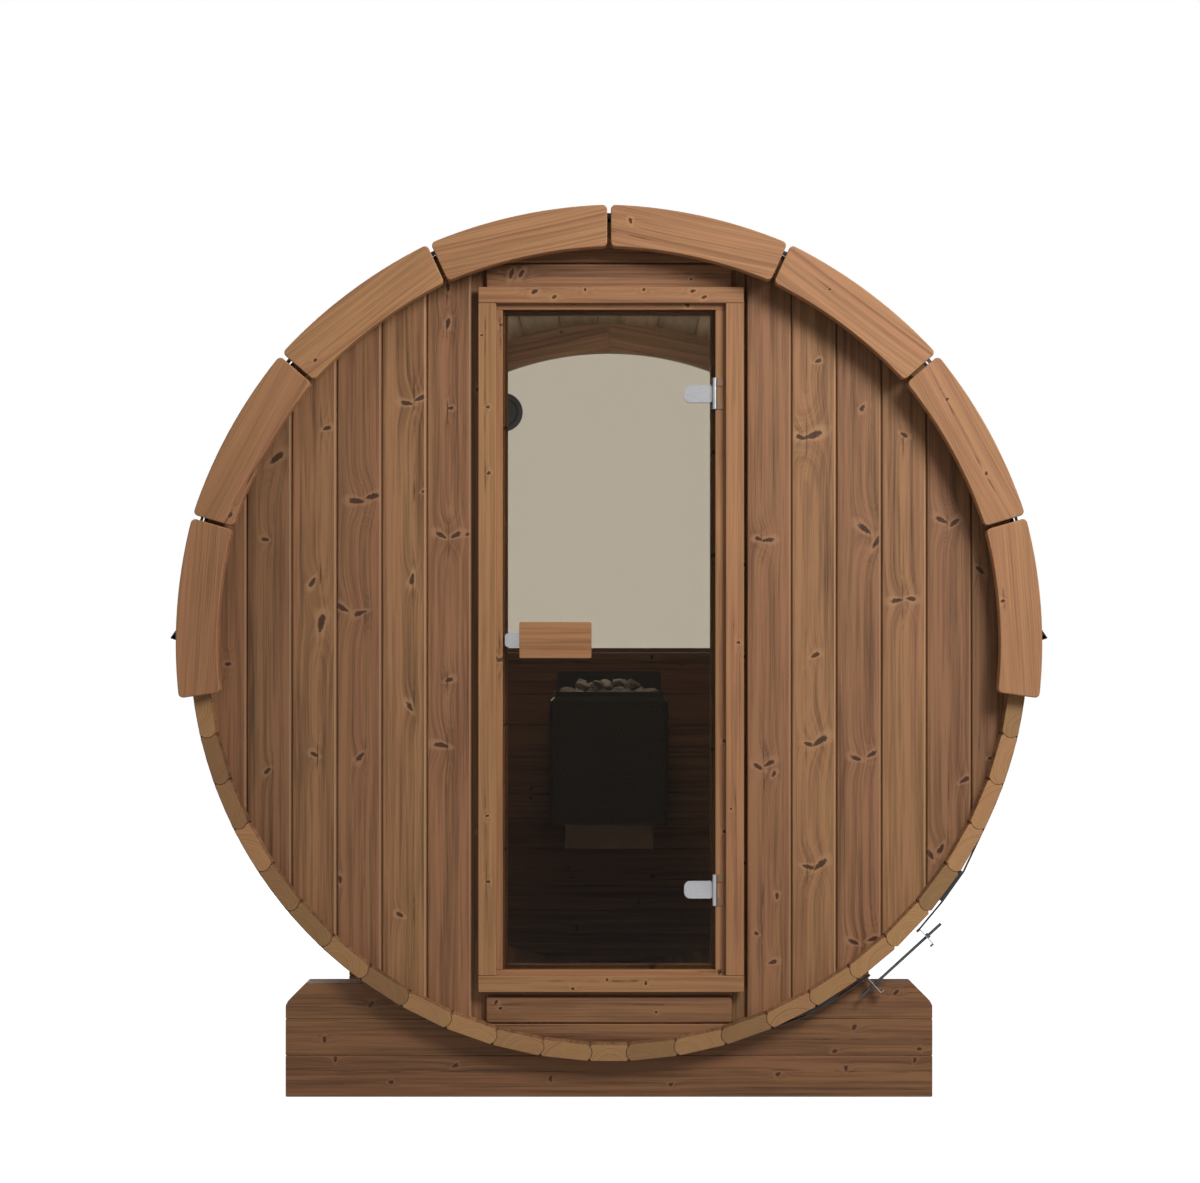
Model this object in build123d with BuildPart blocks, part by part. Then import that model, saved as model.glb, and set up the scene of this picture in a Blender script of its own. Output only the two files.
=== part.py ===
from build123d import *
import os
from math import acos, cos, degrees, radians, sin, sqrt

os.makedirs("parts", exist_ok=True)

# A barrel sauna lying on two cradles. X runs across the front, Y from front to back, Z up.
# The origin is on the ground under the middle of the barrel.

# Barrel
stave_length = 1830.0
barrel_radius = 1067.0
stave_thickness = 42.0
ground_clearance = 101.0
staves_per_side = 26
floor_stave_end = 5
lower_stave_end = 13
upper_stave_end = 21
starter_width = 101.0
closing_width = 76.0
bead_depth = 6.4
stave_edge_ease = 5.5
stave_gap = 0.4
croze_depth = 8.0

# End walls
wall_recess = 50.0
wall_thickness = 42.0
fit_gap = 0.3

# Fascia boards round the upper part of both ends
fascia_count = 8
fascia_span = 196.2
fascia_overhang = 20.0
fascia_width = 106.0
fascia_thickness = 42.0
fascia_rise = 7.0
fascia_flat = 3.0
fascia_gap = 9.0
fascia_corner = 12.0

# Roof covering and its metal edges
roofing_thickness = 8.0
roofing_low_edge = 62.0
sheet_thickness = 2.0
drip_throw = 34.8
drip_tip_height = 10.0
drip_lip = 12.0
drip_lip_fall = 4.0
drip_flange = 45.0
verge_height = 5.0
verge_thickness = 4.0
verge_low_gap = 30.0

# Cradles
cradle_width = 1660.0
cradle_height = 292.0
cradle_thickness = 90.0
cradle_setback = 55.0
cradle_chamfer = 52.0

# Steel straps with their tension rods
strap_width = 20.0
strap_thickness = 1.5
strap_inset = 28.0
strap_mid_angle = -47.6
strap_pad_near = 9.6
strap_pad_far = 14.6
strap_pad_height = 10.0
rod_standoff = 37.0
rod_radius = 4.0
rod_length = 281.0
rod_clearance = 0.4
nut_across_flats = 13.0
nut_height = 7.0
lug_spread = 92.0
lug_height = 52.0
lug_sheet = 2.0
lug_flange = 11.0

# Door opening and its frame
opening_width = 545.4
sill_above_floor = 183.6
head_below_ceiling = 173.5
frame_board = 44.0
frame_depth = 62.0
stud_width = 35.0
stud_recess = 18.0
casing_width = 46.0
casing_thickness = 20.0
head_casing_width = 41.0
sill_casing_width = 42.0
reveal_latch_side = 16.0
reveal_hinge_side = 26.0
reveal_head = 15.0
reveal_sill = 13.0
wall_tongue_height = 24.0
wall_tongue_thickness = 14.0
stop_width = 12.5
stop_thickness = 20.0
stop_clearance = 5.0

# Glass door
door_gap = 5.0
door_glass_thickness = 8.0
door_setback = 6.0
hinge_height = 636.0
knuckle_diameter = 13.0
knuckle_length = 80.0
knuckle_offset = 2.0
hinge_pin_radius = 3.0
hinge_pin_clearance = 0.05
leaf_length = 69.0
leaf_height = 45.0
leaf_sheet = 4.5
leaf_edge_distance = 6.0
leaf_corner = 16.0
hinge_plate_width = 22.0
hinge_plate_sheet = 3.0
handle_length = 183.5
handle_height = 92.5
handle_thickness = 28.0
handle_standoff = 12.0
handle_from_axis = -45.2
handle_centre_height = 4.2
handle_corner = 4.0
handle_post_radius = 8.0
latch_length = 41.0
latch_height = 35.0
latch_corner = 8.0
latch_thickness = 3.0

# Rear window
window_border = 91.0
window_bottom = -16.0
window_rebate = 15.0
window_glass_thickness = 8.0
window_bead_depth = 12.0
arch_segments = 8
vent_diameter = 125.0
vent_neck_diameter = 90.0
vent_plate_thickness = 8.0
vent_angle = 114.6
vent_edge_distance = 55.0

# Heater on the rear wall
heater_width = 366.0
heater_depth = 290.0
heater_rim_inset = 12.0
heater_rim_height = 15.0
heater_shoulder_height = 14.0
heater_corner = 12.0
heater_top = -152.0
heater_bottom = -565.0
heater_sheet = 3.0
heater_back_width = 331.0
heater_back_top = -90.0
heater_back_thickness = 12.0
heater_tray_depth = 130.0
stone_crown = 45.0
stone_slope = 40.0
stone_margin = 6.0
control_width = 276.0
control_height = 80.0
control_depth = 210.0
control_corner = 6.0

# Worked out from the sizes above
axis_height = ground_clearance + barrel_radius
front_end = -stave_length / 2
rear_end = stave_length / 2
inner_radius = barrel_radius - stave_thickness
starter_angle = degrees(starter_width / barrel_radius)
closing_angle = degrees(closing_width / barrel_radius)
stave_angle = (360 - starter_angle - closing_angle) / (2 * staves_per_side)
stave_corner_radius = barrel_radius / cos(radians(stave_angle / 2))
inner_corner_radius = inner_radius / cos(radians(stave_angle / 2))
croze_radius = inner_radius + croze_depth
wall_radius = croze_radius - fit_gap
window_radius = inner_radius - window_border
front_wall_face = front_end + wall_recess
rear_wall_inside = rear_end - wall_recess - wall_thickness
opening_half = opening_width / 2
opening_bottom = sill_above_floor - inner_radius
opening_top = inner_radius - head_below_ceiling
frame_half = opening_half + frame_board
frame_top = opening_top + frame_board
frame_bottom = opening_bottom - frame_board


def end_plane(y):
    """The upright plane across the barrel at y, with its origin on the barrel's axis."""
    return Plane(origin=(0, y, axis_height), x_dir=(1, 0, 0), z_dir=(0, -1, 0))


def level_plane(height):
    """The level plane at a height above the barrel's axis."""
    return Plane.XY.offset(axis_height + height)


def ring_point(angle, radius, along=0.0):
    """A point across the barrel: radius out at the angle, then along the turn."""
    a = radians(angle)
    return Vector(radius * cos(a) - along * sin(a), radius * sin(a) + along * cos(a))


def box_sketch(left, right, low, high, mode=Mode.ADD):
    """A rectangle between two sides and two heights."""
    with Locations(((left + right) / 2, (low + high) / 2)):
        Rectangle(right - left, high - low, mode=mode)


# Staves. Each one has a bead on the side away from the barrel's lowest line and a cove on the other side.
# The starter at the bottom has two beads and the closing stave at the top has two coves.
def stave_outline(start, end, start_lean, end_lean):
    """One stave's section between two joint angles. A lean of 1 or -1 is the way the bead points."""
    outer = stave_corner_radius
    inner = inner_corner_radius
    middle = (outer + inner) / 2
    shift = stave_gap / 2
    outer_start = ring_point(start, outer, shift)
    outer_end = ring_point(end, outer, -shift)
    inner_start = ring_point(start, inner, shift)
    inner_end = ring_point(end, inner, -shift)
    face = (outer_end - outer_start).normalized()
    with BuildLine() as outline:
        outside = Line(outer_start + face * stave_edge_ease, outer_end - face * stave_edge_ease)
        ease_1 = Line(outside @ 1, ring_point(end, outer - stave_edge_ease, -shift))
        end_edge = ThreePointArc(
            ease_1 @ 1,
            ring_point(end, middle, end_lean * bead_depth - shift),
            ring_point(end, inner + stave_edge_ease, -shift),
        )
        ease_2 = Line(end_edge @ 1, inner_end - face * stave_edge_ease)
        inside = Line(ease_2 @ 1, inner_start + face * stave_edge_ease)
        ease_3 = Line(inside @ 1, ring_point(start, inner + stave_edge_ease, shift))
        start_edge = ThreePointArc(
            ease_3 @ 1,
            ring_point(start, middle, start_lean * bead_depth + shift),
            ring_point(start, outer - stave_edge_ease, shift),
        )
        Line(start_edge @ 1, outside @ 0)
    make_face(outline.edges())


def right_stave(number):
    """Start and end angle of a stave on the right, counted up from the starter."""
    start = -90 + starter_angle / 2 + number * stave_angle
    return start, start + stave_angle, 1, 1


def left_stave(number):
    """Start and end angle of a stave on the left, counted up from the starter."""
    end = -90 - starter_angle / 2 - number * stave_angle
    return end - stave_angle, end, -1, -1


def cut_crozes():
    """The two grooves round the inside in which the end walls sit."""
    for wall_start in (front_wall_face, rear_wall_inside):
        with BuildSketch(end_plane(wall_start - fit_gap)) as groove:
            Circle(croze_radius)
        extrude(groove.sketch, amount=-(wall_thickness + 2 * fit_gap), mode=Mode.SUBTRACT)


starter = (-90 - starter_angle / 2, -90 + starter_angle / 2, -1, 1)
closing = (90 - closing_angle / 2, 90 + closing_angle / 2, 1, -1)

stave_groups = {
    "staves_floor": [starter]
    + [right_stave(n) for n in range(floor_stave_end)]
    + [left_stave(n) for n in range(floor_stave_end)],
    "staves_right_lower": [right_stave(n) for n in range(floor_stave_end, lower_stave_end)],
    "staves_left_lower": [left_stave(n) for n in range(floor_stave_end, lower_stave_end)],
    "staves_right_upper": [right_stave(n) for n in range(lower_stave_end, upper_stave_end)],
    "staves_left_upper": [left_stave(n) for n in range(lower_stave_end, upper_stave_end)],
    "staves_crown": [closing]
    + [right_stave(n) for n in range(upper_stave_end, staves_per_side)]
    + [left_stave(n) for n in range(upper_stave_end, staves_per_side)],
}

for group_name, staves in stave_groups.items():
    with BuildPart() as stave_group:
        with BuildSketch(end_plane(front_end)):
            for stave in staves:
                stave_outline(*stave)
        extrude(amount=-stave_length)
        cut_crozes()
    stave_group.part.label = group_name
    export_step(stave_group.part, f"parts/{group_name}.step")

# Front wall, in four pieces round the door frame and the studs beside it
stud_outer = frame_half + fit_gap + stud_width

front_wall_pieces = {
    "front_wall_left": (-barrel_radius, -stud_outer - fit_gap, -barrel_radius, barrel_radius, 0),
    "front_wall_right": (stud_outer + fit_gap, barrel_radius, -barrel_radius, barrel_radius, 0),
    "front_wall_top": (-frame_half, frame_half, frame_top + fit_gap, barrel_radius, 0),
    "front_wall_bottom": (-frame_half, frame_half, -barrel_radius, frame_bottom - fit_gap, 0),
    "front_stud_left": (-stud_outer, -frame_half - fit_gap, -barrel_radius, barrel_radius, stud_recess),
    "front_stud_right": (frame_half + fit_gap, stud_outer, -barrel_radius, barrel_radius, stud_recess),
}

for piece_name, (left, right, low, high, recess) in front_wall_pieces.items():
    with BuildPart() as wall_piece:
        with BuildSketch(end_plane(front_wall_face + recess)):
            Circle(wall_radius)
            box_sketch(left, right, low, high, Mode.INTERSECT)
        extrude(amount=-(wall_thickness - recess))
        if piece_name == "front_wall_bottom":
            for cheek in (front_wall_face, front_wall_face + (wall_thickness + wall_tongue_thickness) / 2):
                with BuildSketch(end_plane(cheek)):
                    box_sketch(left, right, high - wall_tongue_height, high)
                extrude(amount=-(wall_thickness - wall_tongue_thickness) / 2, mode=Mode.SUBTRACT)
    wall_piece.part.label = piece_name
    export_step(wall_piece.part, f"parts/{piece_name}.step")

# Door frame: two jambs between a head and a sill
with BuildPart() as door_frame:
    with BuildSketch(end_plane(front_wall_face)):
        box_sketch(-frame_half, frame_half, opening_top, frame_top)
        box_sketch(-frame_half, frame_half, frame_bottom, opening_bottom)
        for side in (-1, 1):
            inner, outer = sorted((side * opening_half, side * frame_half))
            box_sketch(inner, outer, opening_bottom + fit_gap, opening_top - fit_gap)
    extrude(amount=-frame_depth)
door_frame.part.label = "door_frame"
export_step(door_frame.part, "parts/door_frame.step")

# Casing boards on the face of the wall round the frame
casing_left = -opening_half - reveal_latch_side - casing_width
casing_right = opening_half + reveal_hinge_side + casing_width
casing_top = opening_top + reveal_head + head_casing_width
casing_bottom = opening_bottom - reveal_sill - sill_casing_width
casing_inner_left = casing_left + casing_width
casing_inner_right = casing_right - casing_width

with BuildPart() as door_casing:
    with BuildSketch(end_plane(front_wall_face)):
        box_sketch(casing_left, casing_right, casing_top - head_casing_width, casing_top)
        box_sketch(casing_left, casing_right, casing_bottom, casing_bottom + sill_casing_width)
        for left, right in ((casing_left, casing_inner_left), (casing_inner_right, casing_right)):
            box_sketch(
                left,
                right,
                casing_bottom + sill_casing_width + fit_gap,
                casing_top - head_casing_width - fit_gap,
            )
    extrude(amount=casing_thickness)
door_casing.part.label = "door_casing"
export_step(door_casing.part, "parts/door_casing.step")

# Stops inside the frame, behind the glass
glass_face = front_wall_face + door_setback
glass_back = glass_face + door_glass_thickness
stop_face = glass_back + stop_clearance

with BuildPart() as door_stops:
    with BuildSketch(end_plane(stop_face)):
        box_sketch(-opening_half, opening_half, opening_top - stop_width, opening_top)
        box_sketch(-opening_half, opening_half, opening_bottom, opening_bottom + stop_width)
        for side in (-1, 1):
            inner, outer = sorted((side * opening_half, side * (opening_half - stop_width)))
            box_sketch(
                inner,
                outer,
                opening_bottom + stop_width + fit_gap,
                opening_top - stop_width - fit_gap,
            )
    extrude(amount=-stop_thickness)
door_stops.part.label = "door_stops"
export_step(door_stops.part, "parts/door_stops.step")

# Glass door, hung at the right and opening outwards
door_left = -opening_half + door_gap
door_right = opening_half - door_gap
door_low = opening_bottom + door_gap
door_high = opening_top - door_gap

with BuildPart() as door_glass:
    with BuildSketch(end_plane(glass_face)):
        box_sketch(door_left, door_right, door_low, door_high)
    extrude(amount=-door_glass_thickness)
door_glass.part.label = "door_glass"
export_step(door_glass.part, "parts/door_glass.step")

# Hinges. The outer knuckles are fixed to the jamb with a pin through them; the middle one carries the leaf.
hinge_x = opening_half - knuckle_offset
hinge_y = front_wall_face - knuckle_diameter / 2 - fit_gap
moving_knuckle = knuckle_length / 2
leaf_right = door_right - leaf_edge_distance
leaf_left = leaf_right - leaf_length
hinge_centres = (-hinge_height, hinge_height)

with BuildPart() as hinge_plates:
    for centre in hinge_centres:
        for low in (centre - knuckle_length / 2, centre + moving_knuckle / 2 + fit_gap):
            length = (knuckle_length - moving_knuckle) / 2 - fit_gap
            with BuildSketch(level_plane(low)):
                with Locations((hinge_x, hinge_y)):
                    Circle(knuckle_diameter / 2)
                box_sketch(
                    opening_half,
                    opening_half + hinge_plate_width,
                    front_wall_face - hinge_plate_sheet,
                    front_wall_face,
                )
            extrude(amount=length)
        with BuildSketch(level_plane(centre - knuckle_length / 2)):
            with Locations((hinge_x, hinge_y)):
                Circle(hinge_pin_radius)
        extrude(amount=knuckle_length)
hinge_plates.part.label = "hinge_plates"
export_step(hinge_plates.part, "parts/hinge_plates.step")

with BuildPart() as hinge_leaves:
    for centre in hinge_centres:
        low = centre - moving_knuckle / 2
        with BuildSketch(level_plane(low)):
            with Locations((hinge_x, hinge_y)):
                Circle(knuckle_diameter / 2)
            box_sketch(leaf_right - leaf_height / 2, hinge_x, glass_face - leaf_sheet, glass_face)
            box_sketch(hinge_x - knuckle_diameter / 2, hinge_x, hinge_y, glass_face)
            with Locations((hinge_x, hinge_y)):
                Circle(hinge_pin_radius + hinge_pin_clearance, mode=Mode.SUBTRACT)
        extrude(amount=moving_knuckle)
        for face in (glass_face - leaf_sheet, glass_back):
            with BuildSketch(end_plane(face)) as leaf:
                box_sketch(leaf_left, leaf_right, centre - leaf_height / 2, centre + leaf_height / 2)
                fillet(leaf.vertices().group_by(Axis.X)[0], leaf_corner)
            extrude(amount=-leaf_sheet)
hinge_leaves.part.label = "hinge_leaves"
export_step(hinge_leaves.part, "parts/hinge_leaves.step")

# Wooden handles on both faces of the glass, each on two short posts
handle_right = handle_from_axis
handle_left = handle_right - handle_length
handle_posts = (handle_left + handle_length / 4, handle_right - handle_length / 4)


def build_handle(face, outward):
    """One handle block; outward is 1 towards the front and -1 towards the cabin."""
    with BuildPart() as handle:
        with BuildSketch(end_plane(face)):
            with Locations(*[(x, handle_centre_height) for x in handle_posts]):
                Circle(handle_post_radius)
        extrude(amount=outward * (handle_standoff + handle_thickness / 2))
        with BuildSketch(end_plane(face - outward * handle_standoff)):
            with Locations(((handle_left + handle_right) / 2, handle_centre_height)):
                RectangleRounded(handle_length, handle_height, handle_corner)
        extrude(amount=outward * handle_thickness)
    return handle.part


handle_outer = build_handle(glass_face, 1)
handle_outer.label = "handle_outer"
export_step(handle_outer, "parts/handle_outer.step")

handle_inner = build_handle(glass_back, -1)
handle_inner.label = "handle_inner"
export_step(handle_inner, "parts/handle_inner.step")

# Steel latch plate on the free edge of the glass
with BuildPart() as latch_plate:
    with BuildSketch(end_plane(glass_face)) as latch_outline:
        box_sketch(
            door_left,
            door_left + latch_length,
            handle_centre_height - latch_height / 2,
            handle_centre_height + latch_height / 2,
        )
        fillet(latch_outline.vertices().group_by(Axis.X)[0], latch_corner)
    extrude(amount=latch_thickness)
latch_plate.part.label = "latch_plate"
export_step(latch_plate.part, "parts/latch_plate.step")

# Rear wall: a lower half disc and an arch over the half-moon window, both rebated for the pane from outside
rebate_start = rear_wall_inside + wall_thickness - window_bead_depth - window_glass_thickness
rebate_depth = rear_wall_inside + wall_thickness - rebate_start


def cut_window_rebate():
    """The step round the window, cut in from the outside of the wall."""
    with BuildSketch(end_plane(rebate_start)) as rebate:
        Circle(window_radius + window_rebate)
        box_sketch(
            -barrel_radius, barrel_radius, window_bottom - window_rebate, barrel_radius, Mode.INTERSECT
        )
    extrude(rebate.sketch, amount=-rebate_depth, mode=Mode.SUBTRACT)


with BuildPart() as rear_wall_lower:
    with BuildSketch(end_plane(rear_wall_inside)):
        Circle(wall_radius)
        box_sketch(-barrel_radius, barrel_radius, -barrel_radius, window_bottom, Mode.INTERSECT)
    extrude(amount=-wall_thickness)
    cut_window_rebate()
rear_wall_lower.part.label = "rear_wall_lower"
export_step(rear_wall_lower.part, "parts/rear_wall_lower.step")

with BuildPart() as rear_wall_arch:
    with BuildSketch(end_plane(rear_wall_inside)):
        Circle(wall_radius)
        Circle(window_radius, mode=Mode.SUBTRACT)
        box_sketch(-barrel_radius, barrel_radius, window_bottom + fit_gap, barrel_radius, Mode.INTERSECT)
        for joint in range(1, arch_segments):
            with Locations(Location((0, 0), 180 * joint / arch_segments)):
                Rectangle(2 * barrel_radius, fit_gap, mode=Mode.SUBTRACT)
    extrude(amount=-wall_thickness)
    cut_window_rebate()
rear_wall_arch.part.label = "rear_wall_arch"
export_step(rear_wall_arch.part, "parts/rear_wall_arch.step")


def window_sketch(margin):
    """The half-moon outline, grown by a margin past the clear opening."""
    Circle(window_radius + margin)
    box_sketch(-barrel_radius, barrel_radius, window_bottom - margin, barrel_radius, Mode.INTERSECT)


with BuildPart() as rear_window_glass:
    with BuildSketch(end_plane(rebate_start)):
        window_sketch(window_rebate - fit_gap)
    extrude(amount=-window_glass_thickness)
rear_window_glass.part.label = "rear_window_glass"
export_step(rear_window_glass.part, "parts/rear_window_glass.step")

with BuildPart() as rear_window_bead:
    with BuildSketch(end_plane(rebate_start + window_glass_thickness)):
        window_sketch(window_rebate - fit_gap)
        with BuildSketch(mode=Mode.SUBTRACT):
            window_sketch(0)
    extrude(amount=-window_bead_depth)
rear_window_bead.part.label = "rear_window_bead"
export_step(rear_window_bead.part, "parts/rear_window_bead.step")

# Round vent on the inside of the rear pane
vent_place = ring_point(vent_angle, window_radius - vent_edge_distance - vent_diameter / 2)

with BuildPart() as vent_valve:
    with BuildSketch(end_plane(rear_wall_inside + fit_gap)):
        with Locations(vent_place):
            Circle(vent_diameter / 2)
    extrude(amount=-vent_plate_thickness)
    with BuildSketch(end_plane(rear_wall_inside + fit_gap)):
        with Locations(vent_place):
            Circle(vent_neck_diameter / 2)
    extrude(amount=-(rebate_start - rear_wall_inside - fit_gap))
vent_valve.part.label = "vent_valve"
export_step(vent_valve.part, "parts/vent_valve.step")

# Heater: an open casing of sheet on a back plate, with stones on its tray and a control box below
heater_back_face = rear_wall_inside - heater_back_thickness
heater_front = heater_back_face - heater_depth
heater_middle = (heater_front + heater_back_face) / 2
rim_low = heater_top - heater_rim_height
shoulder_low = rim_low - heater_shoulder_height
tray_floor = heater_top - heater_tray_depth
rim_wall = heater_rim_inset + heater_sheet


def heater_sketch(margin):
    """The casing's plan with its front corners rounded, drawn in by a margin on all sides."""
    with BuildSketch(mode=Mode.PRIVATE) as plan:
        with Locations((0, heater_middle)):
            Rectangle(heater_width - 2 * margin, heater_depth - 2 * margin)
        fillet(plan.vertices().group_by(Axis.Y)[0], heater_corner)
    add(plan.sketch)


with BuildPart() as heater_casing:
    with BuildSketch(level_plane(heater_bottom)):
        heater_sketch(0)
    extrude(amount=shoulder_low - heater_bottom)
    with BuildSketch(level_plane(shoulder_low)):
        heater_sketch(0)
    with BuildSketch(level_plane(rim_low)):
        heater_sketch(heater_rim_inset)
    loft()
    with BuildSketch(level_plane(rim_low)):
        heater_sketch(heater_rim_inset)
    extrude(amount=heater_rim_height)
    with BuildSketch(level_plane(tray_floor)):
        heater_sketch(rim_wall)
    extrude(amount=heater_tray_depth, mode=Mode.SUBTRACT)
    with BuildSketch(level_plane(heater_bottom)):
        heater_sketch(heater_sheet)
    extrude(amount=tray_floor - heater_sheet - heater_bottom, mode=Mode.SUBTRACT)
heater_casing.part.label = "heater_casing"
export_step(heater_casing.part, "parts/heater_casing.step")

with BuildPart() as heater_back_plate:
    with BuildSketch(end_plane(heater_back_face)) as back_outline:
        box_sketch(-heater_back_width / 2, heater_back_width / 2, heater_bottom, heater_back_top)
        fillet(back_outline.vertices().group_by(Axis.Y)[-1], heater_corner)
    extrude(amount=-heater_back_thickness)
heater_back_plate.part.label = "heater_back_plate"
export_step(heater_back_plate.part, "parts/heater_back_plate.step")

stone_width = heater_width - 2 * (rim_wall + stone_margin)
stone_depth = heater_depth - 2 * (rim_wall + stone_margin)

with BuildPart() as heater_stones:
    with BuildSketch(level_plane(tray_floor)):
        with Locations((0, heater_middle)):
            Rectangle(stone_width, stone_depth)
    extrude(amount=heater_tray_depth)
    with BuildSketch(level_plane(heater_top)):
        with Locations((0, heater_middle)):
            Rectangle(stone_width, stone_depth)
    extrude(amount=stone_crown, taper=stone_slope)
heater_stones.part.label = "heater_stones"
export_step(heater_stones.part, "parts/heater_stones.step")

with BuildPart() as heater_control_box:
    with BuildSketch(level_plane(heater_bottom - control_height)) as control_plan:
        with Locations((0, rear_wall_inside - control_depth / 2)):
            Rectangle(control_width, control_depth)
        fillet(control_plan.vertices().group_by(Axis.Y)[0], control_corner)
    extrude(amount=control_height)
heater_control_box.part.label = "heater_control_box"
export_step(heater_control_box.part, "parts/heater_control_box.step")

# Cradles, cut to the barrel's curve
cradle_starts = {
    "cradle_front": front_end + cradle_setback,
    "cradle_rear": rear_end - cradle_setback - cradle_thickness,
}

for cradle_name, start in cradle_starts.items():
    with BuildPart() as cradle:
        with BuildSketch(end_plane(start)) as cradle_outline:
            box_sketch(-cradle_width / 2, cradle_width / 2, -axis_height, cradle_height - axis_height)
            chamfer(cradle_outline.vertices().group_by(Axis.Y)[-1], cradle_chamfer)
            Circle(stave_corner_radius + fit_gap, mode=Mode.SUBTRACT)
        extrude(amount=-cradle_thickness)
    cradle.part.label = cradle_name
    export_step(cradle.part, f"parts/{cradle_name}.step")

# Roof covering over the upper half, outside the straps
roofing_inner = stave_corner_radius + fit_gap + strap_thickness + fit_gap
roofing_outer = roofing_inner + roofing_thickness

with BuildPart() as roofing:
    with BuildSketch(end_plane(front_end)):
        Circle(roofing_outer)
        Circle(roofing_inner, mode=Mode.SUBTRACT)
        box_sketch(-roofing_outer, roofing_outer, roofing_low_edge, roofing_outer, Mode.INTERSECT)
    extrude(amount=-stave_length)
roofing.part.label = "roofing"
export_step(roofing.part, "parts/roofing.step")

# Drip edges: folded sheet that leaves the roof covering and throws the water clear of the staves
flange_radius = roofing_outer + fit_gap
drip_reach = flange_radius + drip_throw


def drip_outline(side):
    """The folded sheet's section; side is 1 on the right and -1 on the left."""
    bend_height = roofing_low_edge
    top_height = bend_height + drip_flange
    top = (side * sqrt(flange_radius**2 - top_height**2), top_height)
    bend = (side * sqrt(flange_radius**2 - bend_height**2), bend_height)
    tip = (side * drip_reach, drip_tip_height)
    lip = (side * (drip_reach - drip_lip), drip_tip_height - drip_lip_fall)
    with BuildLine() as outline:
        Polyline(top, bend, tip, lip)
        offset(amount=sheet_thickness, side=Side.LEFT if side > 0 else Side.RIGHT)
    make_face(outline.edges())


for drip_name, side in (("drip_edge_right", 1), ("drip_edge_left", -1)):
    with BuildPart() as drip_edge:
        with BuildSketch(end_plane(front_end)):
            drip_outline(side)
        extrude(amount=-stave_length)
    drip_edge.part.label = drip_name
    export_step(drip_edge.part, f"parts/{drip_name}.step")

# Verge trims: thin black strips that close the ends of the roof covering behind the fascia
verge_starts = (front_end, rear_end - verge_thickness)
verge_radius = roofing_outer + verge_height
verge_low_edge = roofing_low_edge + drip_flange + verge_low_gap

with BuildPart() as verge_trims:
    for start in verge_starts:
        with BuildSketch(end_plane(start)):
            with Locations((0, fascia_rise)):
                Circle(verge_radius)
            Circle(roofing_outer + fit_gap, mode=Mode.SUBTRACT)
            verge_top = verge_radius + fascia_rise
            box_sketch(-verge_radius, verge_radius, verge_low_edge, verge_top, Mode.INTERSECT)
        extrude(amount=-verge_thickness)
verge_trims.part.label = "verge_trims"
export_step(verge_trims.part, "parts/verge_trims.step")

# Fascia boards, all cut to one template that is a little flatter than the circle they stand on
fascia_outer_radius = roofing_outer + fascia_overhang
fascia_inner_radius = fascia_outer_radius - fascia_width
fascia_angle = fascia_span / fascia_count
fascia_first = 90 - fascia_span / 2


def fascia_board(number):
    """One curved board, counted from the right-hand end; its ends are cut on the radius."""
    start = fascia_first + number * fascia_angle
    end = start + fascia_angle
    middle = (start + end) / 2
    inset = fascia_gap / 2
    centre = Vector(0, fascia_rise)
    with BuildLine() as outline:
        outer = ThreePointArc(
            centre + ring_point(start, fascia_outer_radius, inset),
            centre + ring_point(middle, fascia_outer_radius - fascia_flat),
            centre + ring_point(end, fascia_outer_radius, -inset),
        )
        end_cut = Line(outer @ 1, centre + ring_point(end, fascia_inner_radius, -inset))
        inner = ThreePointArc(
            end_cut @ 1,
            centre + ring_point(middle, fascia_inner_radius - fascia_flat),
            centre + ring_point(start, fascia_inner_radius, inset),
        )
        Line(inner @ 1, outer @ 0)
    make_face(outline.edges())


half_count = fascia_count // 2
fascia_groups = {
    "fascia_front_right": (front_end - fascia_thickness, range(half_count)),
    "fascia_front_left": (front_end - fascia_thickness, range(half_count, fascia_count)),
    "fascia_rear_right": (rear_end, range(half_count)),
    "fascia_rear_left": (rear_end, range(half_count, fascia_count)),
}

for fascia_name, (start, numbers) in fascia_groups.items():
    with BuildPart() as fascia:
        with BuildSketch(end_plane(start)) as boards:
            for number in numbers:
                fascia_board(number)
            fillet(boards.vertices(), fascia_corner)
        extrude(amount=-fascia_thickness)
    fascia.part.label = fascia_name
    export_step(fascia.part, f"parts/{fascia_name}.step")

# Straps. Each band runs round the staves, lifts over a pad on both sides of the gap and ends on a lug.
band_radius = stave_corner_radius + fit_gap
pad_radius = stave_corner_radius + strap_pad_height
rod_distance = barrel_radius + rod_standoff
leave_angle = strap_pad_far + degrees(acos(band_radius / pad_radius))
strap_starts = (front_end + strap_inset - strap_width / 2, rear_end - strap_inset - strap_width / 2)


def gap_point(radial, along):
    """A point by the strap's gap: radial from the barrel's axis, along the rod from its middle."""
    return ring_point(strap_mid_angle, radial, along)


def rod_plane(start):
    """The plane across the rod at its middle, for the strap whose front edge is at start."""
    middle = gap_point(rod_distance, 0)
    way = ring_point(strap_mid_angle, 0, 1)
    return Plane(
        origin=(middle.X, start + strap_width / 2, axis_height + middle.Y),
        x_dir=(0, 1, 0),
        z_dir=(way.X, 0, way.Y),
    )


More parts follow.
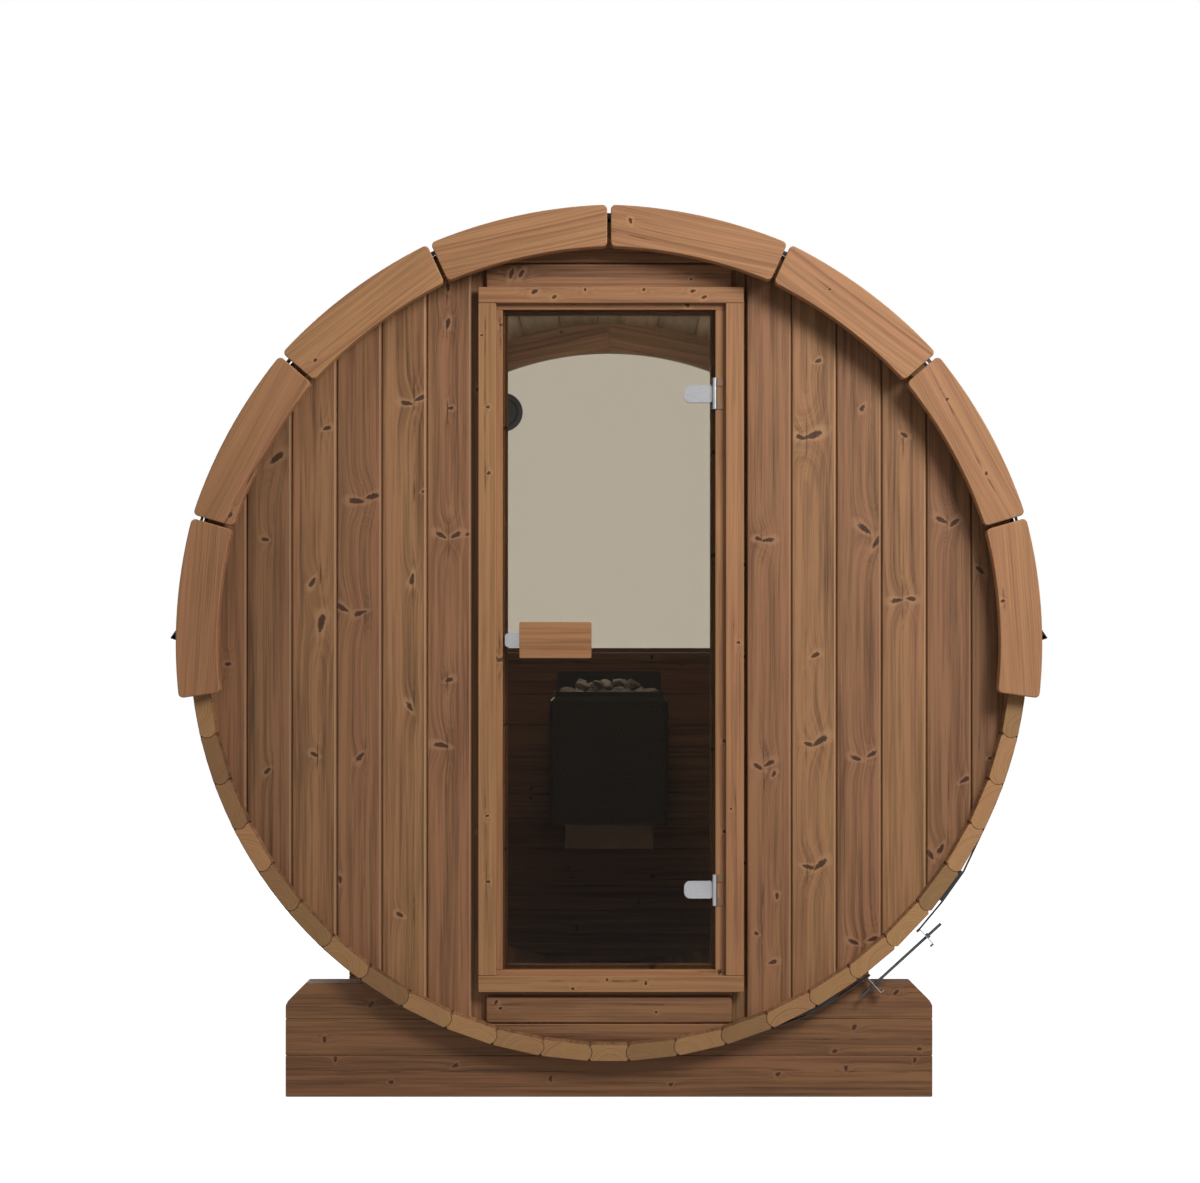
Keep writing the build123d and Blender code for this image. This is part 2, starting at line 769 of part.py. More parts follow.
def strap_sketch():
    """The band as one folded outline."""
    lug_face = rod_distance - lug_height / 2 - fit_gap - strap_thickness
    run_up = []
    for side in (-1, 1):
        run_up.append(
            [
                ring_point(strap_mid_angle + side * leave_angle, band_radius),
                ring_point(strap_mid_angle + side * strap_pad_far, pad_radius + fit_gap),
                ring_point(strap_mid_angle + side * strap_pad_near, pad_radius + fit_gap),
                gap_point(lug_face, side * lug_spread),
                gap_point(lug_face, side * (lug_spread - lug_flange)),
            ]
        )
    with BuildLine() as outline:
        Polyline(*reversed(run_up[0]))
        ThreePointArc(
            run_up[0][0],
            ring_point(strap_mid_angle + 180, band_radius),
            run_up[1][0],
        )
        Polyline(*run_up[1])
        offset(amount=strap_thickness, side=Side.LEFT)
    make_face(outline.edges())


for strap_name, start in zip(("strap_front", "strap_rear"), strap_starts):
    with BuildPart() as strap:
        with BuildSketch(end_plane(start)):
            strap_sketch()
        extrude(amount=-strap_width)
    strap.part.label = strap_name
    export_step(strap.part, f"parts/{strap_name}.step")

with BuildPart() as strap_pads:
    for start in strap_starts:
        with BuildSketch(end_plane(start)):
            for side in (-1, 1):
                near = strap_mid_angle + side * strap_pad_near
                far = strap_mid_angle + side * strap_pad_far
                with BuildLine():
                    Polyline(
                        ring_point(near, band_radius),
                        ring_point(near, pad_radius),
                        ring_point(far, pad_radius),
                        ring_point(far, band_radius),
                    )
                    ThreePointArc(
                        ring_point(far, band_radius),
                        ring_point((near + far) / 2, band_radius),
                        ring_point(near, band_radius),
                    )
                make_face()
        extrude(amount=-strap_width)
strap_pads.part.label = "strap_pads"
export_step(strap_pads.part, "parts/strap_pads.step")

# Lugs: short channels with a hole for the rod
with BuildPart() as strap_lugs:
    for start in strap_starts:
        for side in (-1, 1):
            corner_low = rod_distance - lug_height / 2
            corner_high = rod_distance + lug_height / 2
            back = side * lug_spread
            front = side * (lug_spread - lug_flange)
            with BuildSketch(end_plane(start)):
                with BuildLine():
                    Polyline(
                        gap_point(corner_low, front),
                        gap_point(corner_low, back),
                        gap_point(corner_high, back),
                        gap_point(corner_high, front),
                        gap_point(corner_high - lug_sheet, front),
                        gap_point(corner_high - lug_sheet, back - side * lug_sheet),
                        gap_point(corner_low + lug_sheet, back - side * lug_sheet),
                        gap_point(corner_low + lug_sheet, front),
                        close=True,
                    )
                make_face()
            extrude(amount=-strap_width)
        with BuildSketch(rod_plane(start).offset(-rod_length / 2)):
            Circle(rod_radius + rod_clearance)
        extrude(amount=rod_length, mode=Mode.SUBTRACT)
strap_lugs.part.label = "strap_lugs"
export_step(strap_lugs.part, "parts/strap_lugs.step")

# Rods across the straps' gaps, each with a nut outside both lugs
with BuildPart() as tension_rods:
    for start in strap_starts:
        with BuildSketch(rod_plane(start).offset(-rod_length / 2)):
            Circle(rod_radius)
        extrude(amount=rod_length)
        for nut_start in (lug_spread + fit_gap, -lug_spread - fit_gap - nut_height):
            with BuildSketch(rod_plane(start).offset(nut_start)):
                RegularPolygon(nut_across_flats / 2, 6, major_radius=False)
            extrude(amount=nut_height)
tension_rods.part.label = "tension_rods"
export_step(tension_rods.part, "parts/tension_rods.step")
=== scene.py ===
import random
from math import asin, atan2, cos, degrees, floor, pi, radians, sin, sqrt

import bmesh
import bpy
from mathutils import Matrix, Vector


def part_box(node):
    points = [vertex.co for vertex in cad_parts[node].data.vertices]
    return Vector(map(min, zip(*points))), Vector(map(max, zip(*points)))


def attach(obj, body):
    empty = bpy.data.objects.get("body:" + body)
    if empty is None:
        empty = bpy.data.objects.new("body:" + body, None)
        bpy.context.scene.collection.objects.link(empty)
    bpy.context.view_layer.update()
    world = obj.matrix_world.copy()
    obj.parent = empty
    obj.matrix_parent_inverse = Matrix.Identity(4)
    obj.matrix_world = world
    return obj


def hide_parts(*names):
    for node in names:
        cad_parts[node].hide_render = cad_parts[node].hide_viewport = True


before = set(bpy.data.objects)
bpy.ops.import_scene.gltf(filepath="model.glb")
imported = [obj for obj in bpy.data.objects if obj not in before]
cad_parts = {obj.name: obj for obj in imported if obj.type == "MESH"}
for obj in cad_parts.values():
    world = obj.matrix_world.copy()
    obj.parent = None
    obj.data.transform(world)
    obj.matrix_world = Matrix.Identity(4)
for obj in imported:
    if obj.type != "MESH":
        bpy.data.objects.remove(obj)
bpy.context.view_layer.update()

# Sizes shared with the solids, in metres
axis_height = 1.168
barrel_radius = 1.067
stave_thickness = 0.042
inner_radius = barrel_radius - stave_thickness
front_end = -0.915
rear_end = 0.915
staves_per_side = 26
starter_angle = degrees(0.101 / barrel_radius)
closing_angle = degrees(0.076 / barrel_radius)
stave_angle = (360 - starter_angle - closing_angle) / (2 * staves_per_side)
stave_corner_radius = barrel_radius / cos(radians(stave_angle / 2))
inner_corner_radius = inner_radius / cos(radians(stave_angle / 2))
bead_depth = 0.0064
stave_edge_ease = 0.0055
stave_gap = 0.0004
floor_stave_end = 5
lower_stave_end = 13
upper_stave_end = 21
wall_thickness = 0.042
wall_radius = inner_radius + 0.0077
opening_half = 0.5454 / 2
opening_bottom = -0.8414
opening_top = 0.8515
fit_gap = 0.0003
window_radius = inner_radius - 0.091
window_bottom = -0.016
window_rebate = 0.015
strap_mid_angle = -47.6
rod_distance = barrel_radius + 0.037


def node_box(node):
    """Left, right, front and back of a solid, then its lowest and highest point above the barrel's axis."""
    low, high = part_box(node)
    return low.x, high.x, low.y, high.y, low.z - axis_height, high.z - axis_height


# Shader helpers
def add_node(tree, kind, **settings):
    node = tree.nodes.new(kind)
    for name, value in settings.items():
        setattr(node, name, value)
    return node


def plug(tree, socket, value):
    """Sets a socket to a number or colour, or links another socket to it."""
    if isinstance(value, bpy.types.NodeSocket):
        tree.links.new(value, socket)
    elif value is not None:
        socket.default_value = value


def maths(tree, operation, first, second=None, clamp=False):
    node = add_node(tree, "ShaderNodeMath", operation=operation, use_clamp=clamp)
    plug(tree, node.inputs[0], first)
    plug(tree, node.inputs[1], second)
    return node.outputs[0]


def plus(tree, first, second, clamp=False):
    return maths(tree, "ADD", first, second, clamp)


def minus(tree, first, second, clamp=False):
    return maths(tree, "SUBTRACT", first, second, clamp)


def times(tree, first, second):
    return maths(tree, "MULTIPLY", first, second)


def over(tree, first, second):
    return maths(tree, "DIVIDE", first, second)


def squares(tree, first, second):
    """The sum of two squares."""
    return plus(tree, times(tree, first, first), times(tree, second, second))


def blend_colours(tree, amount, first, second):
    node = add_node(tree, "ShaderNodeMix", data_type="RGBA")
    plug(tree, node.inputs["Factor"], amount)
    plug(tree, node.inputs[6], first)
    plug(tree, node.inputs[7], second)
    return node.outputs[2]


def rescale(tree, value, low, high, new_low=0.0, new_high=1.0, smooth=False):
    node = add_node(tree, "ShaderNodeMapRange", interpolation_type="SMOOTHSTEP" if smooth else "LINEAR")
    for socket, part in zip(node.inputs, (value, low, high, new_low, new_high)):
        plug(tree, socket, part)
    return node.outputs[0]


def join_vector(tree, x, y, z):
    node = add_node(tree, "ShaderNodeCombineXYZ")
    for socket, value in zip(node.inputs, (x, y, z)):
        plug(tree, socket, value)
    return node.outputs[0]


def split_vector(tree, vector):
    node = add_node(tree, "ShaderNodeSeparateXYZ")
    plug(tree, node.inputs[0], vector)
    return node.outputs


def noise(tree, vector, scale, detail=2.0, roughness=0.5):
    node = add_node(tree, "ShaderNodeTexNoise")
    plug(tree, node.inputs["Vector"], vector)
    node.inputs["Scale"].default_value = scale
    node.inputs["Detail"].default_value = detail
    node.inputs["Roughness"].default_value = roughness
    return node.outputs[0]


def read_attribute(tree, name):
    return add_node(tree, "ShaderNodeAttribute", attribute_name=name).outputs


def object_place(tree):
    return add_node(tree, "ShaderNodeTexCoord").outputs["Object"]


def new_group(name, inputs, outputs):
    """A shader node group with its named inputs and outputs; returns its tree and its inner sockets."""
    tree = bpy.data.node_groups.new(name, "ShaderNodeTree")
    for label, kind in inputs:
        tree.interface.new_socket(label, in_out="INPUT", socket_type=kind)
    for label, kind in outputs:
        tree.interface.new_socket(label, in_out="OUTPUT", socket_type=kind)
    start = add_node(tree, "NodeGroupInput")
    end = add_node(tree, "NodeGroupOutput")
    return tree, start.outputs, end.inputs


def use_group(tree, group, **values):
    """Places a node group; underscores in the names stand for spaces."""
    node = add_node(tree, "ShaderNodeGroup")
    node.node_tree = group
    for name, value in values.items():
        plug(tree, node.inputs[name.replace("_", " ")], value)
    return node.outputs


number_kind = "NodeSocketFloat"
colour_kind = "NodeSocketColor"
vector_kind = "NodeSocketVector"
knot_results = [("Bulge", number_kind), ("Core", number_kind), ("Pale", number_kind), ("Near", number_kind)]
finish_results = [("Color", colour_kind), ("Roughness", number_kind), ("Height", number_kind)]


# One knot in a board. Its place holds along, across and, in the third part, the tilt in degrees plus 90
# before the point and the half length in metres after it. It is drop shaped and widens away from the pith.
def make_knot_group():
    tree, given, result = new_group(
        "one_knot", [("Wood", vector_kind), ("Knot", vector_kind), ("Rough Edge", number_kind)], knot_results
    )
    here = split_vector(tree, given["Wood"])
    knot = split_vector(tree, given["Knot"])
    tilt_whole = maths(tree, "FLOOR", knot[2])
    size = maths(tree, "MAXIMUM", minus(tree, knot[2], tilt_whole), 0.0005)
    tilt = maths(tree, "RADIANS", minus(tree, tilt_whole, 90.0))
    along = minus(tree, here[0], knot[0])
    across = minus(tree, here[1], knot[1])
    cosine = maths(tree, "COSINE", tilt)
    sine = maths(tree, "SINE", tilt)
    long_way = plus(tree, times(tree, across, cosine), times(tree, along, sine))
    short_way = minus(tree, times(tree, along, cosine), times(tree, across, sine))
    pith = read_attribute(tree, "pith")["Fac"]
    side = maths(tree, "SIGN", minus(tree, knot[1], pith))
    outward = over(tree, times(tree, long_way, side), size)
    slim = rescale(tree, over(tree, size, 0.008), 0.8, 2.4, 1.25, 2.5)
    taper = times(tree, slim, rescale(tree, outward, -1.0, 1.0, 1.5, 0.75))
    short_way = times(tree, short_way, taper)
    distance = maths(tree, "SQRT", squares(tree, long_way, short_way))
    share = plus(tree, over(tree, distance, size), given["Rough Edge"])
    core = rescale(tree, share, 1.0, 0.66, smooth=True)
    pale = minus(tree, rescale(tree, share, 2.1, 1.0, smooth=True), core, clamp=True)
    spread = squares(tree, along, times(tree, across, 1.8))
    spread = over(tree, spread, squares(tree, size, size))
    fall = maths(tree, "EXPONENT", times(tree, spread, -0.30))
    tree.links.new(times(tree, times(tree, fall, size), 0.75), result["Bulge"])
    tree.links.new(core, result["Core"])
    tree.links.new(pale, result["Pale"])
    tree.links.new(rescale(tree, maths(tree, "ABSOLUTE", along), 0.085, 0.012, smooth=True), result["Near"])
    return tree


knots_per_board = 8
knot_group = make_knot_group()


# All of a board's knots together
def make_knots_group():
    tree, given, result = new_group(
        "board_knots", [("Wood", vector_kind), ("Rough Edge", number_kind)], knot_results
    )
    totals = {label: 0.0 for label, kind in knot_results}
    for number in range(knots_per_board):
        knot = read_attribute(tree, f"knot_{number}")["Vector"]
        found = use_group(tree, knot_group, Wood=given["Wood"], Knot=knot, Rough_Edge=given["Rough Edge"])
        for name in totals:
            joining = "ADD" if name == "Bulge" else "MAXIMUM"
            totals[name] = maths(tree, joining, found[name], totals[name])
    for name, total in totals.items():
        tree.links.new(total, result[name])
    return tree


knots_group = make_knots_group()


# Planed softwood: rings round a pith behind the face, red and olive bands, fibres, knots and paler ends
def make_timber_group():
    tree, given, result = new_group(
        "heat_treated_softwood",
        [
            ("Light", colour_kind),
            ("Dark", colour_kind),
            ("Knot", colour_kind),
            ("End", colour_kind),
            ("Streaks", number_kind),
            ("Ring Spacing", number_kind),
            ("Rings", number_kind),
            ("Tone Spread", number_kind),
        ],
        finish_results,
    )
    wood = read_attribute(tree, "wood")["Vector"]
    seed = read_attribute(tree, "seed")["Fac"]
    end = read_attribute(tree, "end")["Fac"]
    arris = read_attribute(tree, "arris")["Fac"]
    pith = read_attribute(tree, "pith")["Fac"]
    along, across, depth = split_vector(tree, wood)
    shift = times(tree, seed, 37.0)

    def stretched(along_scale, across_scale):
        return join_vector(tree, times(tree, along, along_scale), times(tree, across, across_scale), shift)

    rough_edge = minus(tree, noise(tree, stretched(130.0, 130.0), 1.0, 2.0), 0.5)
    rough_edge = times(tree, rough_edge, 0.9)
    knots = use_group(tree, knots_group, Wood=wood, Rough_Edge=rough_edge)

    # Distance from the pith, which wanders along the board and bends round the knots
    wobble = minus(tree, noise(tree, stretched(1.5, 4.0), 1.0, 2.0), 0.5)
    from_pith = minus(tree, across, pith)
    from_pith = plus(tree, from_pith, times(tree, wobble, 0.026))
    pith_depth = plus(tree, depth, plus(tree, times(tree, seed, 0.05), 0.010))
    ring_radius = maths(tree, "SQRT", squares(tree, from_pith, pith_depth))
    ring_radius = plus(tree, ring_radius, knots["Bulge"])
    ring_count = over(tree, ring_radius, given["Ring Spacing"])
    ring_place = join_vector(tree, ring_count, times(tree, along, 0.7), shift)
    bands = rescale(tree, noise(tree, ring_place, 0.42, 3.0, 0.6), 0.30, 0.70)
    saw = maths(tree, "FRACT", plus(tree, ring_count, times(tree, bands, 1.2)))
    late_wood = maths(tree, "POWER", saw, 3.0)
    fibre_depth = plus(tree, times(tree, depth, 560.0), shift)
    fibre_across = plus(tree, across, knots["Bulge"])
    fibre_place = join_vector(tree, times(tree, along, 11.0), times(tree, fibre_across, 560.0), fibre_depth)
    fibres = noise(tree, fibre_place, 1.0, 3.0, 0.6)

    def grain_noise(along_scale, across_scale, third):
        stretched_along = times(tree, along, along_scale)
        stretched_across = times(tree, fibre_across, across_scale)
        return noise(tree, join_vector(tree, stretched_along, stretched_across, third), 1.0, 2.0, 0.6)

    streaks = grain_noise(3.2, 150.0, plus(tree, shift, 5.0))
    broad = grain_noise(1.1, 46.0, shift)
    hues = grain_noise(0.9, 30.0, plus(tree, shift, 9.0))
    clouds = noise(tree, stretched(2.6, 9.0), 1.0, 3.0)

    mottled = rescale(tree, fibres, 0.25, 0.75, -0.28, 0.32)
    mottled = plus(tree, mottled, rescale(tree, streaks, 0.32, 0.68, -0.36, 0.46))
    mottled = plus(tree, mottled, rescale(tree, broad, 0.32, 0.68, -0.40, 0.50))
    mottled = plus(tree, mottled, rescale(tree, clouds, 0.3, 0.7, -0.18, 0.22))
    mottled = plus(tree, mottled, times(tree, bands, 0.50))
    darkness = times(tree, mottled, given["Streaks"])
    darkness = plus(tree, darkness, times(tree, late_wood, given["Rings"]))
    darkness = minus(tree, darkness, times(tree, knots["Pale"], 0.30), clamp=True)
    colour = blend_colours(tree, darkness, given["Light"], given["Dark"])
    colour = blend_colours(tree, times(tree, knots["Pale"], 0.32), colour, given["End"])

    # A thin dark thread along the pith, close above and below the knots
    pith_line = plus(tree, maths(tree, "ABSOLUTE", from_pith), times(tree, pith_depth, 0.04))
    pith_line = rescale(tree, pith_line, 0.0042, 0.0014, smooth=True)
    broken = rescale(tree, noise(tree, stretched(16.0, 3.0), 1.0), 0.40, 0.58)
    pith_line = times(tree, times(tree, pith_line, times(tree, knots["Near"], broken)), 0.8)
    colour = blend_colours(tree, pith_line, colour, given["Knot"])

    knot_rings = rescale(tree, maths(tree, "SINE", times(tree, ring_radius, 3200.0)), -1.0, 1.0, 0.0, 0.30)
    knot_colour = blend_colours(tree, knot_rings, given["Knot"], given["Dark"])
    colour = blend_colours(tree, times(tree, knots["Core"], 0.94), colour, knot_colour)

    end_darkness = times(tree, late_wood, 0.55)
    end_darkness = plus(tree, end_darkness, rescale(tree, fibres, 0.3, 0.7, -0.12, 0.40), clamp=True)
    end_colour = blend_colours(tree, end_darkness, given["End"], given["Dark"])
    colour = blend_colours(tree, end, colour, end_colour)
    # Eased edges turn paler; on a board's lit side this is a painted highlight.
    colour = blend_colours(tree, times(tree, arris, 0.75), colour, given["End"])

    tone = add_node(tree, "ShaderNodeHueSaturation")
    value = times(tree, read_attribute(tree, "tone")["Fac"], given["Tone Spread"])
    plug(tree, tone.inputs["Value"], plus(tree, value, 1.0))
    hue = times(tree, read_attribute(tree, "warmth")["Fac"], -0.0045)
    hue = plus(tree, hue, rescale(tree, hues, 0.32, 0.68, 0.5045, 0.4955))
    plug(tree, tone.inputs["Hue"], hue)
    plug(tree, tone.inputs["Color"], colour)
    tree.links.new(tone.outputs[0], result["Color"])
    tree.links.new(rescale(tree, fibres, 0.2, 0.8, 0.50, 0.66), result["Roughness"])

    # The relief follows straight fibres: one that bends round the knots takes much longer to render
    straight_place = join_vector(tree, times(tree, along, 11.0), times(tree, across, 560.0), fibre_depth)
    tree.links.new(noise(tree, straight_place, 1.0, 3.0, 0.6), result["Height"])
    return tree


timber_group = make_timber_group()


# Cloudy wear and dust for painted, plated and moulded pieces
def make_finish_group():
    tree, given, result = new_group(
        "factory_finish",
        [
            ("Main", colour_kind),
            ("Worn", colour_kind),
            ("Roughness", number_kind),
            ("Fine Scale", number_kind),
            ("Brush Stretch", number_kind),
        ],
        finish_results,
    )
    place = object_place(tree)
    x, y, z = split_vector(tree, place)
    stretched = join_vector(tree, over(tree, x, given["Brush Stretch"]), y, z)
    fine = add_node(tree, "ShaderNodeTexNoise")
    plug(tree, fine.inputs["Vector"], stretched)
    plug(tree, fine.inputs["Scale"], given["Fine Scale"])
    fine.inputs["Detail"].default_value = 3.0
    clouds = noise(tree, place, 9.0, 4.0, 0.6)
    amount = rescale(tree, clouds, 0.42, 0.72)
    colour = blend_colours(tree, amount, given["Main"], given["Worn"])
    tree.links.new(colour, result["Color"])
    rough = plus(tree, given["Roughness"], rescale(tree, clouds, 0.3, 0.7, -0.06, 0.08))
    rough = plus(tree, rough, rescale(tree, fine.outputs[0], 0.3, 0.7, -0.04, 0.04), clamp=True)
    tree.links.new(rough, result["Roughness"])
    tree.links.new(fine.outputs[0], result["Height"])
    return tree


finish_group = make_finish_group()


def new_material(name):
    material = bpy.data.materials.new(name)
    material.use_nodes = True
    tree = material.node_tree
    return material, tree, tree.nodes["Principled BSDF"]


def show_finish(tree, shader, found, strength, distance):
    """Gives a shader the colour, roughness and relief that a finish group puts out."""
    plug(tree, shader.inputs["Base Color"], found["Color"])
    plug(tree, shader.inputs["Roughness"], found["Roughness"])
    relief = add_node(tree, "ShaderNodeBump")
    relief.inputs["Strength"].default_value = strength
    relief.inputs["Distance"].default_value = distance
    plug(tree, relief.inputs["Height"], found["Height"])
    plug(tree, shader.inputs["Normal"], relief.outputs[0])


def finish_material(name, main, worn, roughness, metallic=0.0, fine_scale=900.0, stretch=1.0, bump=0.08):
    material, tree, shader = new_material(name)
    found = use_group(
        tree,
        finish_group,
        Main=(*main, 1),
        Worn=(*worn, 1),
        Roughness=roughness,
        Fine_Scale=fine_scale,
        Brush_Stretch=stretch,
    )
    shader.inputs["Metallic"].default_value = metallic
    show_finish(tree, shader, found, bump, 0.0004)
    return material


knot_brown = (0.036, 0.013, 0.006)


def timber_material(name, light, dark, end, streaks=0.65, spacing=0.0035, rings=0.18, spread=0.20):
    material, tree, shader = new_material(name)
    found = use_group(
        tree,
        timber_group,
        Light=(*light, 1),
        Dark=(*dark, 1),
        Knot=(*knot_brown, 1),
        End=(*end, 1),
        Streaks=streaks,
        Ring_Spacing=spacing,
        Rings=rings,
        Tone_Spread=spread,
    )
    shader.inputs["Specular IOR Level"].default_value = 0.25
    show_finish(tree, shader, found, 0.35, 0.0005)
    return material


# Woods: the light and the dark of the grain, then the sawn ends and worn edges
wall_timber = timber_material("wall_timber", (0.30, 0.146, 0.067), (0.08, 0.035, 0.015), (0.38, 0.215, 0.115))
rear_timber = timber_material("rear_timber", (0.25, 0.125, 0.060), (0.09, 0.042, 0.020), (0.18, 0.095, 0.045))
fascia_timber = timber_material(
    "fascia_timber", (0.40, 0.198, 0.090), (0.13, 0.053, 0.020), (0.42, 0.21, 0.095),
    streaks=0.36, spacing=0.006, rings=0.36,
)
casing_timber = timber_material(
    "casing_timber", (0.38, 0.185, 0.083), (0.14, 0.060, 0.025), (0.40, 0.21, 0.10), streaks=0.5
)
stave_timber = timber_material(
    "stave_timber", (0.25, 0.125, 0.057), (0.085, 0.038, 0.017), (0.40, 0.215, 0.090), spread=0.26
)
# The cradle wood is darker than the walls, partly as painted shade for the dim light low under the barrel.
cradle_timber = timber_material(
    "cradle_timber", (0.24, 0.112, 0.050), (0.055, 0.024, 0.011), (0.20, 0.095, 0.045), spacing=0.004
)
handle_timber = timber_material("handle_timber", (0.38, 0.185, 0.08), (0.19, 0.08, 0.032), (0.38, 0.20, 0.09))

# Metals, paints and other finishes: the clean colour, the worn one and the roughness
satin_chrome = finish_material(
    "satin_chrome", (0.37, 0.37, 0.38), (0.30, 0.30, 0.31), 0.28, metallic=1.0, stretch=20.0, bump=0.02
)
# The frame's brown on metal hinge plates: painted shade.
plate_painted_shade = finish_material("plate_painted_shade", (0.22, 0.115, 0.055), (0.18, 0.090, 0.042), 0.50)
zinc_plate = finish_material("zinc_plate", (0.30, 0.31, 0.31), (0.20, 0.21, 0.21), 0.40, metallic=1.0)
rod_steel = finish_material("rod_steel", (0.085, 0.088, 0.09), (0.05, 0.052, 0.053), 0.45, metallic=0.8)
black_paint = finish_material("black_paint", (0.016, 0.016, 0.017), (0.028, 0.027, 0.026), 0.45)
roofing_felt = finish_material(
    "roofing_felt", (0.026, 0.026, 0.028), (0.052, 0.050, 0.048), 0.88, fine_scale=1400.0, bump=0.9
)
pad_rubber = finish_material("pad_rubber", (0.020, 0.020, 0.020), (0.033, 0.032, 0.031), 0.72, bump=0.3)
heater_enamel = finish_material(
    "heater_enamel", (0.026, 0.027, 0.022), (0.032, 0.032, 0.027), 0.50, fine_scale=2200.0, bump=0.04
)
control_sheet = finish_material(
    "control_sheet", (0.80, 0.84, 0.86), (0.70, 0.74, 0.76), 0.42, stretch=30.0, bump=0.03
)
vent_plastic = finish_material("vent_plastic", (0.040, 0.038, 0.036), (0.055, 0.052, 0.048), 0.55)
stone_grey = finish_material(
    "stone_grey", (0.42, 0.38, 0.33), (0.20, 0.185, 0.165), 0.85, fine_scale=260.0, bump=1.0
)


def glass_material(name, tint, passed, smudges):
    """A pane: tint is what the eye sees through it, passed is the light that it lets in."""
    material, tree, shader = new_material(name)
    shader.inputs["Base Color"].default_value = (*tint, 1)
    shader.inputs["Transmission Weight"].default_value = 1.0
    shader.inputs["IOR"].default_value = 1.12
    shader.inputs["Coat Weight"].default_value = 0.05
    shader.inputs["Coat Roughness"].default_value = 0.02
    marks = noise(tree, object_place(tree), 3.0, 4.0, 0.6)
    plug(tree, shader.inputs["Roughness"], rescale(tree, marks, 0.45, 0.8, 0.0, smudges))
    clear = add_node(tree, "ShaderNodeBsdfTransparent")
    clear.inputs["Color"].default_value = (*passed, 1)
    ray = add_node(tree, "ShaderNodeLightPath").outputs
    passing = maths(tree, "MAXIMUM", ray["Is Shadow Ray"], ray["Is Diffuse Ray"])
    either = add_node(tree, "ShaderNodeMixShader")
    plug(tree, either.inputs[0], passing)
    tree.links.new(shader.outputs[0], either.inputs[1])
    tree.links.new(clear.outputs[0], either.inputs[2])
    tree.links.new(either.outputs[0], tree.nodes["Material Output"].inputs[0])
    return material


bronze_glass = glass_material("bronze_glass", (0.462, 0.403, 0.321), (0.60, 0.54, 0.45), 0.015)
clear_glass = glass_material("clear_glass", (0.94, 0.96, 0.95), (0.80, 0.80, 0.78), 0.010)


# Joined meshes
def place_mesh(name, mesh, material):
    """Puts a mesh in the scene with rounded edges shaded smooth and broad faces kept flat."""
    mesh.shade_smooth()
    mesh.set_sharp_from_angle(angle=radians(50))
    mesh.materials.append(material)
    piece = bpy.data.objects.new(name, mesh)
    bpy.context.scene.collection.objects.link(piece)
    flat = piece.modifiers.new("flat_faces", "WEIGHTED_NORMAL")
    flat.weight = 100
    flat.keep_sharp = True
    return piece


def turns_inside_out(to_world):
    """Whether a change of place mirrors a shape."""
    start = Vector(to_world(0, 0, 0))
    x, y, z = (Vector(to_world(*way)) - start for way in ((1, 0, 0), (0, 1, 0), (0, 0, 1)))
    return x.cross(y).dot(z) < 0


class Gathered:
    """Solids gathered into one joined mesh for one piece."""

    def __init__(self):
        self.points = []
        self.faces = []

    def add(self, bm, to_world):
        first = len(self.points)
        turned_round = turns_inside_out(to_world)
        bm.verts.index_update()
        for vert in bm.verts:
            self.points.append(to_world(*vert.co))
        for face in bm.faces:
            corners = [first + vert.index for vert in face.verts]
            self.faces.append(corners[::-1] if turned_round else corners)
        bm.free()

    def make(self, name, material, slot, body, replaced):
        mesh = bpy.data.meshes.new(name)
        mesh.from_pydata(self.points, [], self.faces)
        self.mark(mesh)
        piece = place_mesh(name, mesh, material)
        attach(piece, body)
        if replaced:
            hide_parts(*replaced)
        return piece

    def mark(self, mesh):
        """Stores what the finish needs to know on the mesh; plain solids need nothing."""


# A place far from every board, for a knot that isn't there
no_knot = (9.0, 9.0, 90.001)


